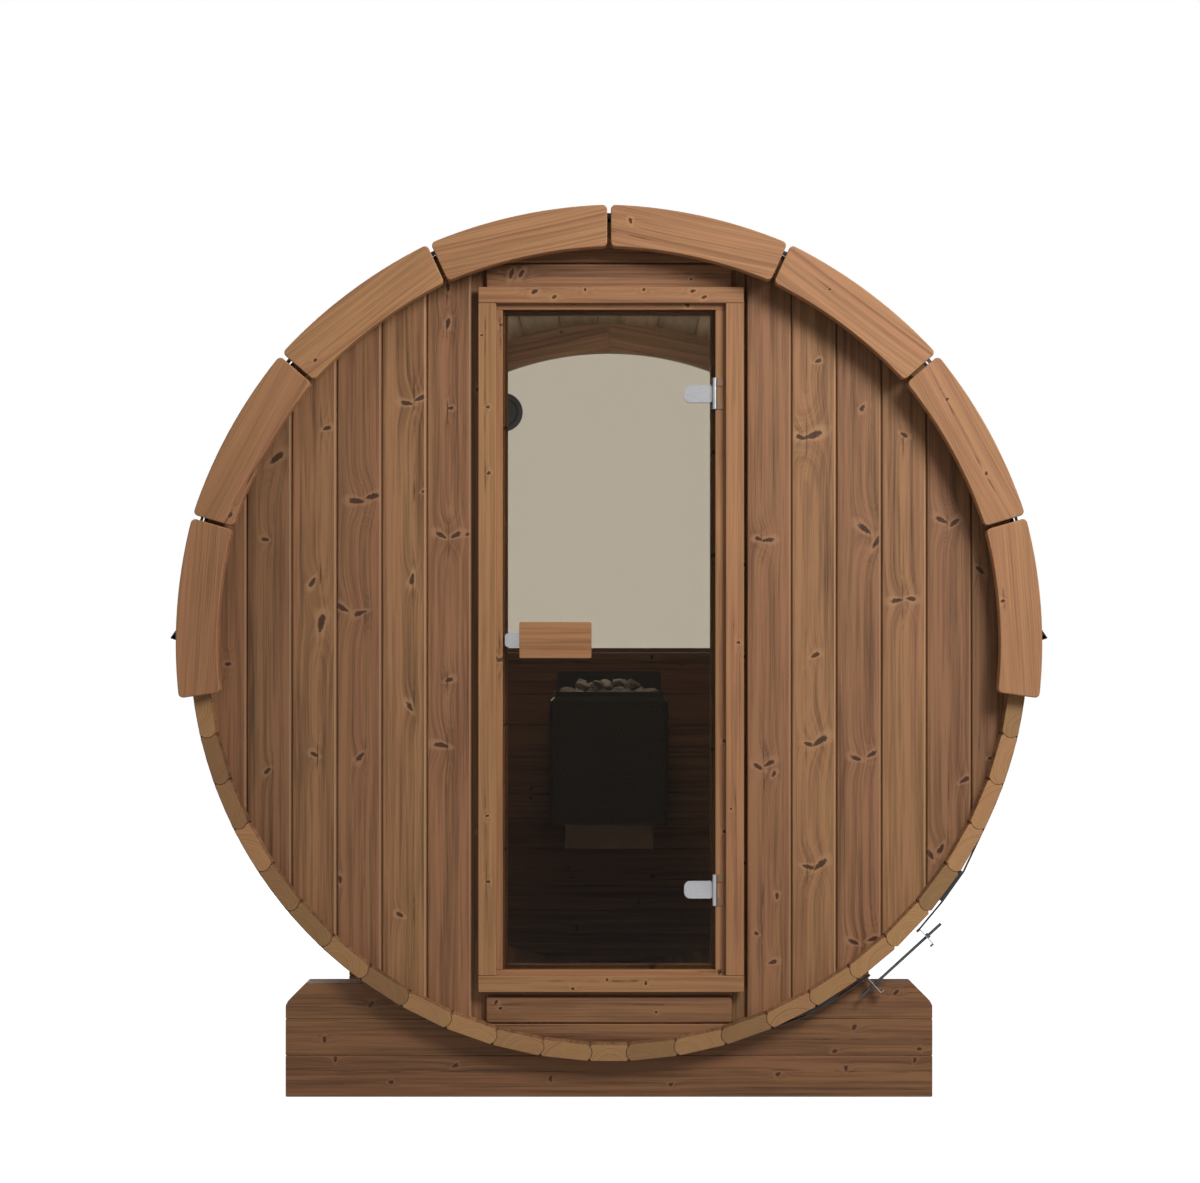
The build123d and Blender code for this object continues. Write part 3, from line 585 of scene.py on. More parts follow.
class Timber(Gathered):
    """Boards, each with its own grain, tone and knots. A board's axes are along, across and through."""

    def __init__(self, seed):
        super().__init__()
        self.chance = random.Random(seed)
        self.wood = []
        self.face_values = {"seed": [], "end": [], "arris": [], "pith": [], "tone": [], "warmth": []}
        self.knots = [[] for _ in range(knots_per_board)]

    def add_board(self, bm, to_world, grain, placed=(), knotty=1.0, tone=None, warmth=None, lit_side=None):
        """Adds a board. grain is the way of the grain in bm's x and y; placed knots are given there too,
        and so is lit_side, the side whose eased edges get a painted highlight in the paler end colour."""
        chance = self.chance
        u, v = grain
        along = [vert.co.x * u + vert.co.y * v for vert in bm.verts]
        across = [-vert.co.x * v + vert.co.y * u for vert in bm.verts]
        near = min(vert.co.z for vert in bm.verts)
        start = min(along)
        length = max(along) - start
        middle = (min(across) + max(across)) / 2
        width = max(across) - min(across)
        seed = chance.random()
        pith = chance.uniform(-0.35, 0.35) * width
        settled = [settle_knot(knot, grain, start, middle) for knot in placed]
        if settled:
            pith = sum(knot[1] for knot in settled[:2]) / len(settled[:2])
        settled += self.natural_knots(length, width, pith, knotty)
        codes = [(a, c, round(tilt) + 90 + half) for a, c, half, tilt in settled[:knots_per_board]]
        codes += [no_knot] * (knots_per_board - len(codes))
        values = {
            "seed": seed,
            "pith": pith,
            "tone": chance.uniform(-1, 1) if tone is None else tone,
            "warmth": chance.uniform(-1, 1) if warmth is None else warmth,
        }
        for vert, a, c in zip(bm.verts, along, across):
            self.wood.append((a - start, c - middle, vert.co.z - near))
        eased = bm.faces.layers.int["arris"]
        for face in bm.faces:
            lengthways = abs(face.normal.x * u + face.normal.y * v)
            values["end"] = 1.0 if lengthways > 0.75 else 0.0
            values["arris"] = face[eased] * edge_paleness_and_highlight(face.normal, lit_side)
            for label, value in values.items():
                self.face_values[label].append(value)
            for store, code in zip(self.knots, codes):
                store.append(code)
        self.add(bm, to_world)

    def natural_knots(self, length, width, pith, knotty):
        """Knots in rings along the board, in pairs that point up and away from the pith."""
        chance = self.chance
        knots = []
        place = chance.uniform(0.05, 0.30)
        while place < length and len(knots) < knots_per_board:
            for side in chance.sample((-1, 1), chance.choice((1, 2, 2))):
                if chance.random() > knotty:
                    continue
                half = chance.uniform(0.006, 0.013)
                across = pith + side * chance.uniform(0.010, max(0.012, width * 0.30))
                across = max(-width / 2 + 0.004, min(width / 2 - 0.004, across))
                along = place + chance.uniform(-0.006, 0.006)
                knots.append((along, across, half, side * chance.uniform(5, 40)))
            place += chance.uniform(0.20, 0.42)
        return knots

    def mark(self, mesh):
        wood = mesh.attributes.new("wood", "FLOAT_VECTOR", "POINT")
        wood.data.foreach_set("vector", [part for point in self.wood for part in point])
        for label, values in self.face_values.items():
            mesh.attributes.new(label, "FLOAT", "FACE").data.foreach_set("value", values)
        for number, codes in enumerate(self.knots):
            store = mesh.attributes.new(f"knot_{number}", "FLOAT_VECTOR", "FACE")
            store.data.foreach_set("vector", [part for code in codes for part in code])


def edge_paleness_and_highlight(normal, lit_side):
    """How pale an eased edge is: a little paler all round, and much paler on the lit side as a painted
    highlight.
    """
    if lit_side is None:
        return 0.3
    return 1.0 if normal.x * lit_side[0] + normal.y * lit_side[1] > 0.2 else 0.2


def settle_knot(knot, grain, start, middle):
    """A knot given by x, y, half length and slope, in terms of a board's grain."""
    x, y, half, slope = knot
    u, v = grain
    way = radians(slope)
    tilt = degrees(atan2(cos(way) * u + sin(way) * v, sin(way) * u - cos(way) * v))
    return x * u + y * v - start, y * u - x * v - middle, half, (tilt + 90) % 180 - 90


def bevel(bm, edges, width, steps):
    """Eases edges and returns the faces made."""
    return bmesh.ops.bevel(
        bm, geom=edges, offset=width, segments=steps, profile=0.5, affect="EDGES", clamp_overlap=True
    )["faces"]


def sharp_edges(bm, turn):
    return [edge for edge in bm.edges if degrees(edge.calc_face_angle(0)) > turn]


def prism(outline, near, far, arris, steps=2):
    """A solid between two depths with its outline in x and y and all sharp edges eased."""
    bm = bmesh.new()
    marks = bm.faces.layers.int.new("arris")
    front = [bm.verts.new((x, y, near)) for x, y in outline]
    back = [bm.verts.new((x, y, far)) for x, y in outline]
    bm.faces.new(front)
    bm.faces.new(list(reversed(back)))
    for i in range(len(outline)):
        j = (i + 1) % len(outline)
        bm.faces.new((front[j], front[i], back[i], back[j]))
    bmesh.ops.recalc_face_normals(bm, faces=bm.faces)
    bm.normal_update()
    if arris:
        for face in bevel(bm, sharp_edges(bm, 25), arris, steps):
            face[marks] = 1
    bm.normal_update()
    return bm


def turned(profile, steps):
    """A solid turned about its own z axis from radius and height; it starts and ends on the axis."""
    bm = bmesh.new()
    bm.faces.layers.int.new("arris")
    rings = []
    for radius, height in profile:
        if radius == 0:
            rings.append([bm.verts.new((0, 0, height))] * steps)
            continue
        turns = [2 * pi * i / steps for i in range(steps)]
        rings.append([bm.verts.new((radius * cos(turn), radius * sin(turn), height)) for turn in turns])
    for low, high in zip(rings, rings[1:]):
        for i in range(steps):
            j = (i + 1) % steps
            corners = list(dict.fromkeys((low[i], low[j], high[j], high[i])))
            bm.faces.new(corners)
    bmesh.ops.recalc_face_normals(bm, faces=bm.faces)
    bm.normal_update()
    return bm


def across_barrel(x, y, depth):
    """From x, height above the axis and depth to the world."""
    return (x, depth, axis_height + y)


def ring_point(angle, radius, along=0.0):
    """The point at an angle and radius about the barrel's axis, then a length along the ring."""
    a = radians(angle)
    return (radius * cos(a) - along * sin(a), radius * sin(a) + along * cos(a))


def arc_points(middle, radius, start, end, steps):
    """Points on an arc about a middle, both ends included, angles in degrees."""
    angles = [radians(start + (end - start) / steps * i) for i in range(steps + 1)]
    return [(middle[0] + radius * cos(angle), middle[1] + radius * sin(angle)) for angle in angles]


def rectangle(left, right, low, high):
    return [(left, low), (right, low), (right, high), (left, high)]


def disc_slice(left, right, radius, low=None, high=None, steps=6):
    """The part of a disc between two sides, cut level where a height is given."""
    outline = []
    xs = [left + (right - left) * i / steps for i in range(steps + 1)]
    xs = [max(-radius, min(radius, x)) for x in xs]
    if low is None:
        outline += [(x, -sqrt(max(radius * radius - x * x, 0))) for x in xs]
    else:
        outline += [(xs[0], low), (xs[-1], low)]
    if high is None:
        outline += [(x, sqrt(max(radius * radius - x * x, 0))) for x in reversed(xs)]
    else:
        outline += [(xs[-1], high), (xs[0], high)]
    return outline


def level_slice(low, high, radius):
    """The same, for a level board between two heights."""
    return [(y, -x) for x, y in disc_slice(-high, -low, radius)]


# Staves
def bulged_edge(outer, inner, lean):
    """Points of a bead or cove from the outer corner to the inner one; lean is its depth to the left."""
    ox, oy = outer
    dx, dy = inner[0] - ox, inner[1] - oy
    length = sqrt(dx**2 + dy**2)
    steps = 6
    points = []
    for i in range(steps + 1):
        share = i / steps
        bulge = lean * (1 - (2 * share - 1) ** 2) / length
        points.append((ox + dx * share + dy * bulge, oy + dy * share - dx * bulge))
    return points


def stave_outline(start, end, start_lean, end_lean):
    """A stave's section between two joint angles, with its bead and cove."""
    outer = stave_corner_radius
    inner = inner_corner_radius
    ease = stave_edge_ease
    shift = stave_gap / 2
    ax, ay = ring_point(start, outer, shift)
    bx, by = ring_point(end, outer, -shift)
    cx, cy = ring_point(start, inner, shift)
    dx, dy = ring_point(end, inner, -shift)
    width = sqrt((bx - ax) ** 2 + (by - ay) ** 2)
    fx, fy = (bx - ax) / width, (by - ay) / width

    def joint_edge(angle, side, lean):
        first = ring_point(angle, outer - ease, side)
        last = ring_point(angle, inner + ease, side)
        return bulged_edge(first, last, -lean * bead_depth)

    end_edge = joint_edge(end, -shift, end_lean)
    start_edge = joint_edge(start, shift, start_lean)
    outside = [(ax + fx * ease, ay + fy * ease), (bx - fx * ease, by - fy * ease)]
    inside = [(dx - fx * ease, dy - fy * ease), (cx + fx * ease, cy + fy * ease)]
    return outside + end_edge + inside + start_edge[::-1]


def right_stave(number):
    start = -90 + starter_angle / 2 + number * stave_angle
    return start, start + stave_angle, 1, 1


def left_stave(number):
    end = -90 - starter_angle / 2 - number * stave_angle
    return end - stave_angle, end, -1, -1


def both_sides(first, last):
    numbers = range(first, last)
    return [right_stave(n) for n in numbers] + [left_stave(n) for n in numbers]


def add_stave(timber, outline, middle):
    """A stave from its section, laid along the barrel at the angle of its middle."""
    section = [(x * sin(middle) - y * cos(middle), x * cos(middle) + y * sin(middle)) for x, y in outline]
    bm = prism(section, front_end, rear_end, 0)
    eased = bm.faces.layers.int["arris"]
    rim = {edge for face in bm.faces if abs(face.normal.z) > 0.9 for edge in face.edges}
    for face in bevel(bm, list(rim), 0.0012, 1):
        face[eased] = 1
    for vert in bm.verts:
        across, radial, along = vert.co
        vert.co = (along, across, -radial)
    bm.normal_update()

    def to_world(along, across, minus_radial):
        x = -minus_radial * cos(middle) + across * sin(middle)
        z = -minus_radial * sin(middle) - across * cos(middle)
        return (x, along, axis_height + z)

    timber.add_board(bm, to_world, (1, 0))


def make_staves():
    starter = (-90 - starter_angle / 2, -90 + starter_angle / 2, -1, 1)
    closing = (90 - closing_angle / 2, 90 + closing_angle / 2, 1, -1)
    groups = {
        "staves_floor": [starter] + both_sides(0, floor_stave_end),
        "staves_right_lower": [right_stave(n) for n in range(floor_stave_end, lower_stave_end)],
        "staves_left_lower": [left_stave(n) for n in range(floor_stave_end, lower_stave_end)],
        "staves_right_upper": [right_stave(n) for n in range(lower_stave_end, upper_stave_end)],
        "staves_left_upper": [left_stave(n) for n in range(lower_stave_end, upper_stave_end)],
        "staves_crown": [closing] + both_sides(upper_stave_end, staves_per_side),
    }
    for seed, (name, staves) in enumerate(groups.items(), 100):
        timber = Timber(seed)
        for stave in staves:
            add_stave(timber, stave_outline(*stave), radians((stave[0] + stave[1]) / 2))
        timber.make(f"{name}_boards", stave_timber, "stave_wood", "sauna", [name])


make_staves()


# Front wall: upright boards at both sides, level boards over and under the door, uprights beside them
board_pitch = 0.1155
board_arris = 0.0065
board_joint = 0.0006
tongue_half = 0.006


def add_tongue(timber, outline, near, far, grain):
    """The tongue of one board in the groove of the next, seen only as the bottom of their joint; its dark
    tone is painted shade there.
    """
    inset = (far - near) / 3
    bm = prism(outline, near + inset, far - inset, 0)
    timber.add_board(bm, across_barrel, grain, knotty=0.0, tone=-0.9)


# Tone from dark to light and warmth from olive to red, for the boards counted outwards from the door.
# The outer boards are set darker, partly as painted shade from the fascia.
left_board_tones = ((0.2, 0.7), (0.8, -0.7), (-0.3, 0.8), (0.3, -0.1), (-0.8, 0.0), (-0.6, 0.4))
right_board_tones = ((-0.1, 0.8), (0.6, -0.5), (-0.2, 0.6), (0.5, -0.3), (-0.5, 0.7), (-0.8, 0.3))

# The large knots: across from the middle, height from the barrel's axis, half length, slope in degrees
wall_knots = (
    (-0.413, 0.817, 0.016, 80), (-0.413, 0.909, 0.012, 90), (-0.518, 0.612, 0.018, 170),
    (-0.484, 0.625, 0.018, 25), (-0.407, 0.599, 0.009, 0), (-0.723, 0.548, 0.013, 20),
    (-0.853, 0.471, 0.025, 40), (-0.646, 0.361, 0.023, 175), (-0.607, 0.373, 0.022, 15),
    (-0.431, 0.274, 0.017, 150), (-0.392, 0.274, 0.017, 25), (-0.361, 0.276, 0.009, 20),
    (-0.505, 0.161, 0.017, 80), (-0.761, 0.153, 0.016, 60), (-0.738, 0.048, 0.028, 80),
    (-0.684, 0.087, 0.022, 150), (-0.638, 0.074, 0.019, 20), (-0.977, -0.057, 0.012, 0),
    (-0.410, -0.098, 0.013, 20), (-0.510, -0.167, 0.016, 120), (-0.431, -0.265, 0.021, 170),
    (-0.392, -0.258, 0.012, 30), (-0.638, -0.295, 0.016, 50), (-0.422, -0.554, 0.022, 165),
    (-0.384, -0.546, 0.026, 25), (-0.690, -0.610, 0.013, 100), (-0.875, -0.330, 0.012, 40),
    (-0.536, -0.700, 0.012, 150), (0.523, 0.530, 0.028, 22), (0.492, 0.524, 0.016, 160),
    (0.407, 0.261, 0.019, 5), (0.383, 0.264, 0.012, 165), (0.853, 0.312, 0.019, 150),
    (0.885, 0.305, 0.017, 40), (0.655, 0.290, 0.023, 140), (0.686, 0.255, 0.021, 60),
    (0.738, 0.106, 0.019, 8), (0.774, 0.110, 0.016, 172), (0.528, -0.034, 0.014, 30),
    (0.384, -0.321, 0.016, 150), (0.412, -0.311, 0.017, 30), (0.423, -0.339, 0.010, 60),
    (0.541, -0.254, 0.025, 35), (0.510, -0.262, 0.014, 160), (0.633, -0.298, 0.017, 160),
    (0.674, -0.288, 0.016, 30), (0.912, -0.354, 0.016, 30), (0.541, -0.572, 0.023, 40),
    (0.510, -0.577, 0.017, 165), (0.851, -0.531, 0.017, 60), (0.825, -0.547, 0.016, 120),
    (0.431, -0.652, 0.010, 90), (0.420, -0.821, 0.013, 20), (0.628, -0.770, 0.016, 160),
    (0.677, -0.762, 0.017, 20), (0.951, 0.184, 0.016, 140), (0.757, 0.530, 0.012, 150),
    (0.536, 0.720, 0.010, 20), (0.650, 0.600, 0.012, 60),
)

# Knots in the level boards over and under the door
top_knots = ((-0.250, 0.944, 0.016, 70), (-0.225, 0.944, 0.014, 60), (0.210, 0.930, 0.005, 0))
bottom_knots = ((-0.290, -0.925, 0.008, 60), (-0.278, -0.940, 0.006, 20), (0.120, -0.950, 0.005, 0))


def side_wall_boards(name, side, tones, seed):
    """The upright boards on one side of the door; side is 1 on the right and -1 on the left."""
    left, right, near, far, *_ = node_box(name)
    place = left if side > 0 else -right
    timber = Timber(seed)
    for tone, warmth in tones:
        end = min(place + board_pitch, wall_radius - 0.0005)
        low, high = sorted((side * (place + board_joint / 2), side * (end - board_joint / 2)))
        placed = [knot for knot in wall_knots if low < knot[0] < high]
        bm = prism(disc_slice(low, high, wall_radius, steps=10), near, far, board_arris, 1)
        # The right-hand eased edges get a painted highlight, as if lit from the right.
        timber.add_board(bm, across_barrel, (0, 1), placed, 0.12, tone, warmth, (1, 0))
        if end < wall_radius - 0.05:
            outline = disc_slice(high - tongue_half, high + tongue_half, wall_radius)
            add_tongue(timber, outline, near, far, (0, 1))
        place += board_pitch
    timber.make(f"{name}_boards", wall_timber, "wall_wood", "sauna", [name])


def make_boards_over_door():
    left, right, near, far, low, _ = node_box("front_wall_top")
    joint = 0.971
    timber = Timber(13)
    # The upper eased edges get a painted highlight, as if lit from above.
    bm = prism(rectangle(left, right, low, joint - board_joint), near, far, board_arris, 1)
    timber.add_board(bm, across_barrel, (1, 0), top_knots, 0.0, 0.6, 0.5, (0, 1))
    bm = prism(disc_slice(left, right, wall_radius, low=joint + board_joint), near, far, board_arris, 1)
    timber.add_board(bm, across_barrel, (1, 0), knotty=0.4, tone=0.6, warmth=0.5, lit_side=(0, 1))
    add_tongue(timber, rectangle(left, right, joint - tongue_half, joint + tongue_half), near, far, (1, 0))
    timber.make("front_wall_top_boards", wall_timber, "wall_wood", "sauna", ["front_wall_top"])


def make_boards_under_door():
    """The upper board has a tongue that stands up behind the door's sill."""
    left, right, near, far, _, high = node_box("front_wall_bottom")
    joint = -0.980
    shoulder = -0.9097
    tongue = 0.014
    inset = (wall_thickness - tongue) / 2
    timber = Timber(14)
    # The upper eased edges get a painted highlight, as if lit from above.
    bm = prism(rectangle(left, right, joint + board_joint, shoulder), near, far, board_arris, 1)
    timber.add_board(bm, across_barrel, (1, 0), bottom_knots, 0.0, -0.3, 0.3, (0, 1))
    # The tongue board is set dark: painted shade in the slot under the casing.
    bm = prism(rectangle(left, right, shoulder, high), near + inset, far - inset, 0.001)
    timber.add_board(bm, across_barrel, (1, 0), knotty=0.0, tone=-0.6, warmth=0.3)
    bm = prism(disc_slice(left, right, wall_radius, high=joint - board_joint), near, far, board_arris, 1)
    timber.add_board(bm, across_barrel, (1, 0), knotty=0.5, tone=-0.5, warmth=0.4, lit_side=(0, 1))
    add_tongue(timber, rectangle(left, right, joint - tongue_half, joint + tongue_half), near, far, (1, 0))
    timber.make("front_wall_bottom_boards", wall_timber, "wall_wood", "sauna", ["front_wall_bottom"])


def make_front_wall():
    side_wall_boards("front_wall_left", -1, left_board_tones, 11)
    side_wall_boards("front_wall_right", 1, right_board_tones, 12)
    make_boards_over_door()
    make_boards_under_door()
    for name, seed in (("front_stud_left", 15), ("front_stud_right", 16)):
        left, right, near, far, *_ = node_box(name)
        timber = Timber(seed)
        bm = prism(disc_slice(left, right, wall_radius), near, far, 0.002)
        timber.add_board(bm, across_barrel, (0, 1), knotty=0.5, tone=-0.6)
        timber.make(f"{name}_board", wall_timber, "wall_wood", "sauna", [name])


make_front_wall()


# Door frame, casing and stops: straight boards, each given by left, right, low and high
casing_knots = (
    (-0.325, 0.784, 0.005, 20), (-0.310, 0.600, 0.006, 0), (-0.308, 0.431, 0.007, 30),
    (-0.311, -0.445, 0.006, 10), (-0.309, -0.614, 0.007, 0), (0.330, -0.002, 0.006, 10),
    (0.312, -0.427, 0.005, 40), (-0.005, -0.864, 0.005, 80), (0.094, -0.872, 0.006, 90),
    (-0.092, -0.887, 0.006, 20), (-0.061, 0.900, 0.006, 80), (0.089, 0.900, 0.006, 60),
    (-0.189, 0.896, 0.011, 20), (-0.139, 0.882, 0.008, 30), (0.215, 0.897, 0.008, 20),
    (0.244, 0.881, 0.008, 30),
)


def surround_boards(node, side, head, sill):
    """Head, sill and two uprights between them, from their widths."""
    left, right, _, _, low, high = node_box(node)
    between = (low + sill + fit_gap, high - head - fit_gap)
    return [
        (left, right, high - head, high),
        (left, right, low, low + sill),
        (left, left + side, *between),
        (right - side, right, *between),
    ]


def make_straight_boards(node, boards, material, arris, seed, tone, knotty, knots=()):
    near, far = node_box(node)[2:4]
    timber = Timber(seed)
    for left, right, low, high in boards:
        grain = (0, 1) if high - low > right - left else (1, 0)
        placed = [knot for knot in knots if left < knot[0] < right and low < knot[1] < high]
        bm = prism(rectangle(left, right, low, high), near, far, arris)
        timber.add_board(bm, across_barrel, grain, placed, knotty, tone)
    timber.make(f"{node}_boards", material, "trim_wood", "sauna", [node])


def make_door_surround():
    _, right, _, _, low, high = node_box("door_frame")
    jamb = right - opening_half
    frame_boards = surround_boards("door_frame", jamb, high - opening_top, opening_bottom - low)
    make_straight_boards("door_frame", frame_boards, casing_timber, 0.0015, 21, 0.0, 0.3)
    casing_boards = surround_boards("door_casing", 0.046, 0.041, 0.042)
    make_straight_boards("door_casing", casing_boards, casing_timber, 0.0025, 22, 0.1, 0.0, casing_knots)
    strip_width = 0.0125
    strips = surround_boards("door_stops", strip_width, strip_width, strip_width)
    make_straight_boards("door_stops", strips, rear_timber, 0.0015, 23, 0.0, 0.2)


make_door_surround()


# Rear wall: level boards under the window, and an arch of curved pieces over it with its glazing bead
rear_pitch = 0.0993
arch_pieces = 8


def ring_piece(inner, outer, start, end):
    """A curved piece between two radii and two angles about the barrel's axis."""
    return arc_points((0, 0), outer, start, end, 10) + arc_points((0, 0), inner, end, start, 10)


def add_ring_boards(timber, inner, outer, start, near, far):
    """Curved pieces end to end over the window, from an angle on the right to the same on the left."""
    step = (180 - 2 * start) / arch_pieces
    for i in range(arch_pieces):
        first = start + step * i
        last = first + step
        bm = prism(ring_piece(inner, outer, first, last), near, far, 0.002)
        way = radians((first + last) / 2 + 90)
        timber.add_board(bm, across_barrel, (cos(way), sin(way)), knotty=0.4)


def make_rear_boards(near, far, pane_front, rebate_low):
    """Level boards; the highest is a part of one, with a lip in front of the pane."""
    timber = Timber(31)
    high = rebate_low
    step = rear_pitch * 0.35
    while high > -wall_radius + 0.004:
        low = max(high - step, -wall_radius + 0.001)
        outline = level_slice(low + board_joint / 2, high - board_joint / 2, wall_radius)
        timber.add_board(prism(outline, near, far, 0.003, 1), across_barrel, (1, 0), knotty=0.5)
        if low > -wall_radius + 0.02:
            outline = level_slice(low - tongue_half, low + tongue_half, wall_radius - 0.002)
            add_tongue(timber, outline, near, far, (1, 0))
        high -= step
        step = rear_pitch
    bm = prism(level_slice(rebate_low, window_bottom, wall_radius), near, pane_front, 0.002)
    timber.add_board(bm, across_barrel, (1, 0), knotty=0.0)
    timber.make("rear_wall_boards", rear_timber, "wall_wood", "sauna", ["rear_wall_lower"])


def make_rear_arch(near, far, pane_front, rebate_low, rebate_radius):
    """Two rings of curved pieces, the rear one wider, so that the pane sits in the rebate between them."""
    timber = Timber(32)
    start = degrees(asin((window_bottom + fit_gap) / window_radius))
    add_ring_boards(timber, window_radius, wall_radius, start, near, pane_front)
    start = degrees(asin(rebate_low / rebate_radius))
    add_ring_boards(timber, rebate_radius, wall_radius, start, pane_front + fit_gap, far)
    timber.make("rear_wall_arch_boards", rear_timber, "wall_wood", "sauna", ["rear_wall_arch"])


def make_glazing_bead(rebate_low, rebate_radius):
    near, far = node_box("rear_window_bead")[2:4]
    timber = Timber(33)
    bead_outer = rebate_radius - fit_gap
    start = degrees(asin(window_bottom / window_radius))
    add_ring_boards(timber, window_radius, bead_outer, start, near, far)
    reach = sqrt(bead_outer**2 - window_bottom**2)
    bm = prism(rectangle(-reach, reach, rebate_low + fit_gap, window_bottom - fit_gap), near, far, 0.002)
    timber.add_board(bm, across_barrel, (1, 0), knotty=0.2)
    timber.make("rear_window_bead_strips", casing_timber, "trim_wood", "sauna", ["rear_window_bead"])


def make_rear_wall():
    near, far = node_box("rear_wall_lower")[2:4]
    pane_front = node_box("rear_window_glass")[2]
    rebate_low = window_bottom - window_rebate
    rebate_radius = window_radius + window_rebate
    make_rear_boards(near, far, pane_front, rebate_low)
    make_rear_arch(near, far, pane_front, rebate_low, rebate_radius)
    make_glazing_bead(rebate_low, rebate_radius)


make_rear_wall()


# Fascia boards
fascia_count = 8
fascia_span = 196.2
fascia_outer = 1.09895
fascia_width = 0.106
fascia_rise = 0.007
fascia_flat = 0.003
fascia_gap = 0.009
fascia_corner = 0.012
fascia_arc_steps = 14


def circle_through(first, middle, last):
    """Centre and radius of the circle through three points."""
    (ax, ay), (bx, by), (cx, cy) = first, middle, last
    d = 2 * (ax * (by - cy) + bx * (cy - ay) + cx * (ay - by))
    a, b, c = ax * ax + ay * ay, bx * bx + by * by, cx * cx + cy * cy
    x = (a * (by - cy) + b * (cy - ay) + c * (ay - by)) / d
    y = (a * (cx - bx) + b * (ax - cx) + c * (bx - ax)) / d
    return (x, y), sqrt((ax - x) ** 2 + (ay - y) ** 2)


def short_arc(centre, radius, first, last, steps):
    """Points the shorter way round a centre, from the side of one point to the side of another."""
    start = degrees(atan2(first[1] - centre[1], first[0] - centre[0]))
    end = degrees(atan2(last[1] - centre[1], last[0] - centre[0]))
    if end - start > 180:
        end -= 360
    if end - start < -180:
        end += 360
    return arc_points(centre, radius, start, end, steps)


def arc_through(first, middle, last):
    centre, radius = circle_through(first, middle, last)
    return short_arc(centre, radius, first, last, fascia_arc_steps)


def rounded_corners(outline, radius, steps=5):
    """Rounds the corners of an outline where it turns sharply."""
    rounded = []
    count = len(outline)
    for i, corner in enumerate(outline):
        before = Vector(outline[i - 1])
        after = Vector(outline[(i + 1) % count])
        here = Vector(corner)
        way_in = (before - here).normalized()
        way_out = (after - here).normalized()
        inside = way_in.angle(way_out)
        if degrees(pi - inside) < 40:
            rounded.append(corner)
            continue
        reach = radius / sin(inside / 2)
        back = radius / (sin(inside / 2) / cos(inside / 2))
        centre = here + (way_in + way_out).normalized() * reach
        rounded += short_arc(centre, radius, here + way_in * back, here + way_out * back, steps)
    return rounded


def fascia_outline(number):
    """A board's outline with rounded corners, a little flatter than the barrel, and the way of its grain."""
    angle = fascia_span / fascia_count
    start = 90 - fascia_span / 2 + number * angle
    end = start + angle
    middle = (start + end) / 2
    inset = fascia_gap / 2
    inner = fascia_outer - fascia_width

    def lifted(point):
        return (point[0], point[1] + fascia_rise)

    outer_arc = arc_through(
        lifted(ring_point(start, fascia_outer, inset)),
        lifted(ring_point(middle, fascia_outer - fascia_flat)),
        lifted(ring_point(end, fascia_outer, -inset)),
    )
    inner_arc = arc_through(
        lifted(ring_point(end, inner, -inset)),
        lifted(ring_point(middle, inner - fascia_flat)),
        lifted(ring_point(start, inner, inset)),
    )
    return rounded_corners(outer_arc + inner_arc, fascia_corner), middle + 90


# Tone and warmth of the fascia boards, from the right-hand end over the top to the left.
# The boards over the top are set lighter, partly as painted light from above.
fascia_tones = (
    (0.0, 0.3), (-0.1, 0.5), (0.1, 0.2), (0.2, 0.4), (0.2, 0.0), (0.4, -0.3), (0.0, 0.4), (-0.1, 0.6),
)

fascia_knots = (
    (0.558, 0.891, 0.005, 20), (0.855, 0.613, 0.006, 60), (0.954, 0.426, 0.006, 80),
    (0.996, 0.103, 0.007, 20), (-0.958, 0.320, 0.009, 60), (-0.743, 0.712, 0.007, 40),
)


def make_fascia_side(name, numbers, knots, seed):
    near, far = node_box(name)[2:4]
    timber = Timber(seed)
    for number in numbers:
        outline, way = fascia_outline(number)
        grain = (cos(radians(way)), sin(radians(way)))
        tone, warmth = fascia_tones[number]
        placed = [knot for knot in knots if abs(degrees(atan2(knot[1], knot[0])) - way + 90) < 12]
        bm = prism(outline, near, far, 0.0035, 3)
        timber.add_board(bm, across_barrel, grain, placed, 0.1, tone, warmth)
    timber.make(f"{name}_boards", fascia_timber, "trim_wood", "sauna", [name])


def make_fascia():
    right_side = range(fascia_count // 2)
    left_side = range(fascia_count // 2, fascia_count)
    make_fascia_side("fascia_front_right", right_side, fascia_knots, 45)
    make_fascia_side("fascia_front_left", left_side, fascia_knots, 44)
    make_fascia_side("fascia_rear_right", right_side, (), 55)
    make_fascia_side("fascia_rear_left", left_side, (), 54)


make_fascia()


# Cradles, each of planks glued edge to edge and cut to the barrel's curve
cradle_joints = (-1.168, -1.062, -0.968)
cradle_chamfer = 0.052
cradle_hollow = stave_corner_radius + fit_gap

cradle_knots = (
    (0.629, -0.990, 0.011, 60), (0.580, -1.050, 0.009, 20), (0.796, -1.045, 0.008, 0),
    (0.608, -1.095, 0.009, 90), (0.434, -1.110, 0.009, 30), (0.737, -0.900, 0.010, 40),
    (-0.610, -0.930, 0.011, 50), (-0.730, -1.020, 0.010, 90), (-0.395, -1.088, 0.009, 20),
    (-0.560, -1.130, 0.008, 0), (-0.150, -1.120, 0.010, 80), (0.160, -1.135, 0.008, 40),
)


def cradle_outlines(low, high, half, top):
    """One plank between two heights: whole under the barrel, otherwise a part at each side."""
    steps = 8
    heights = [low + (high - low) * i / steps for i in range(steps + 1)]
    right = [(half - max(0.0, y - (top - cradle_chamfer)), y) for y in heights]
    if low < -cradle_hollow:
        reach = sqrt(cradle_hollow**2 - high * high)
        across = [reach * (1 - i / 12) for i in range(25)]
        hollow = [(x, -sqrt(cradle_hollow**2 - x * x)) for x in across]
        return [right + hollow + [(-x, y) for x, y in reversed(right)]]
    piece = right + [(sqrt(cradle_hollow**2 - y * y), y) for y in reversed(heights)]
    return [piece, [(-x, y) for x, y in reversed(piece)]]


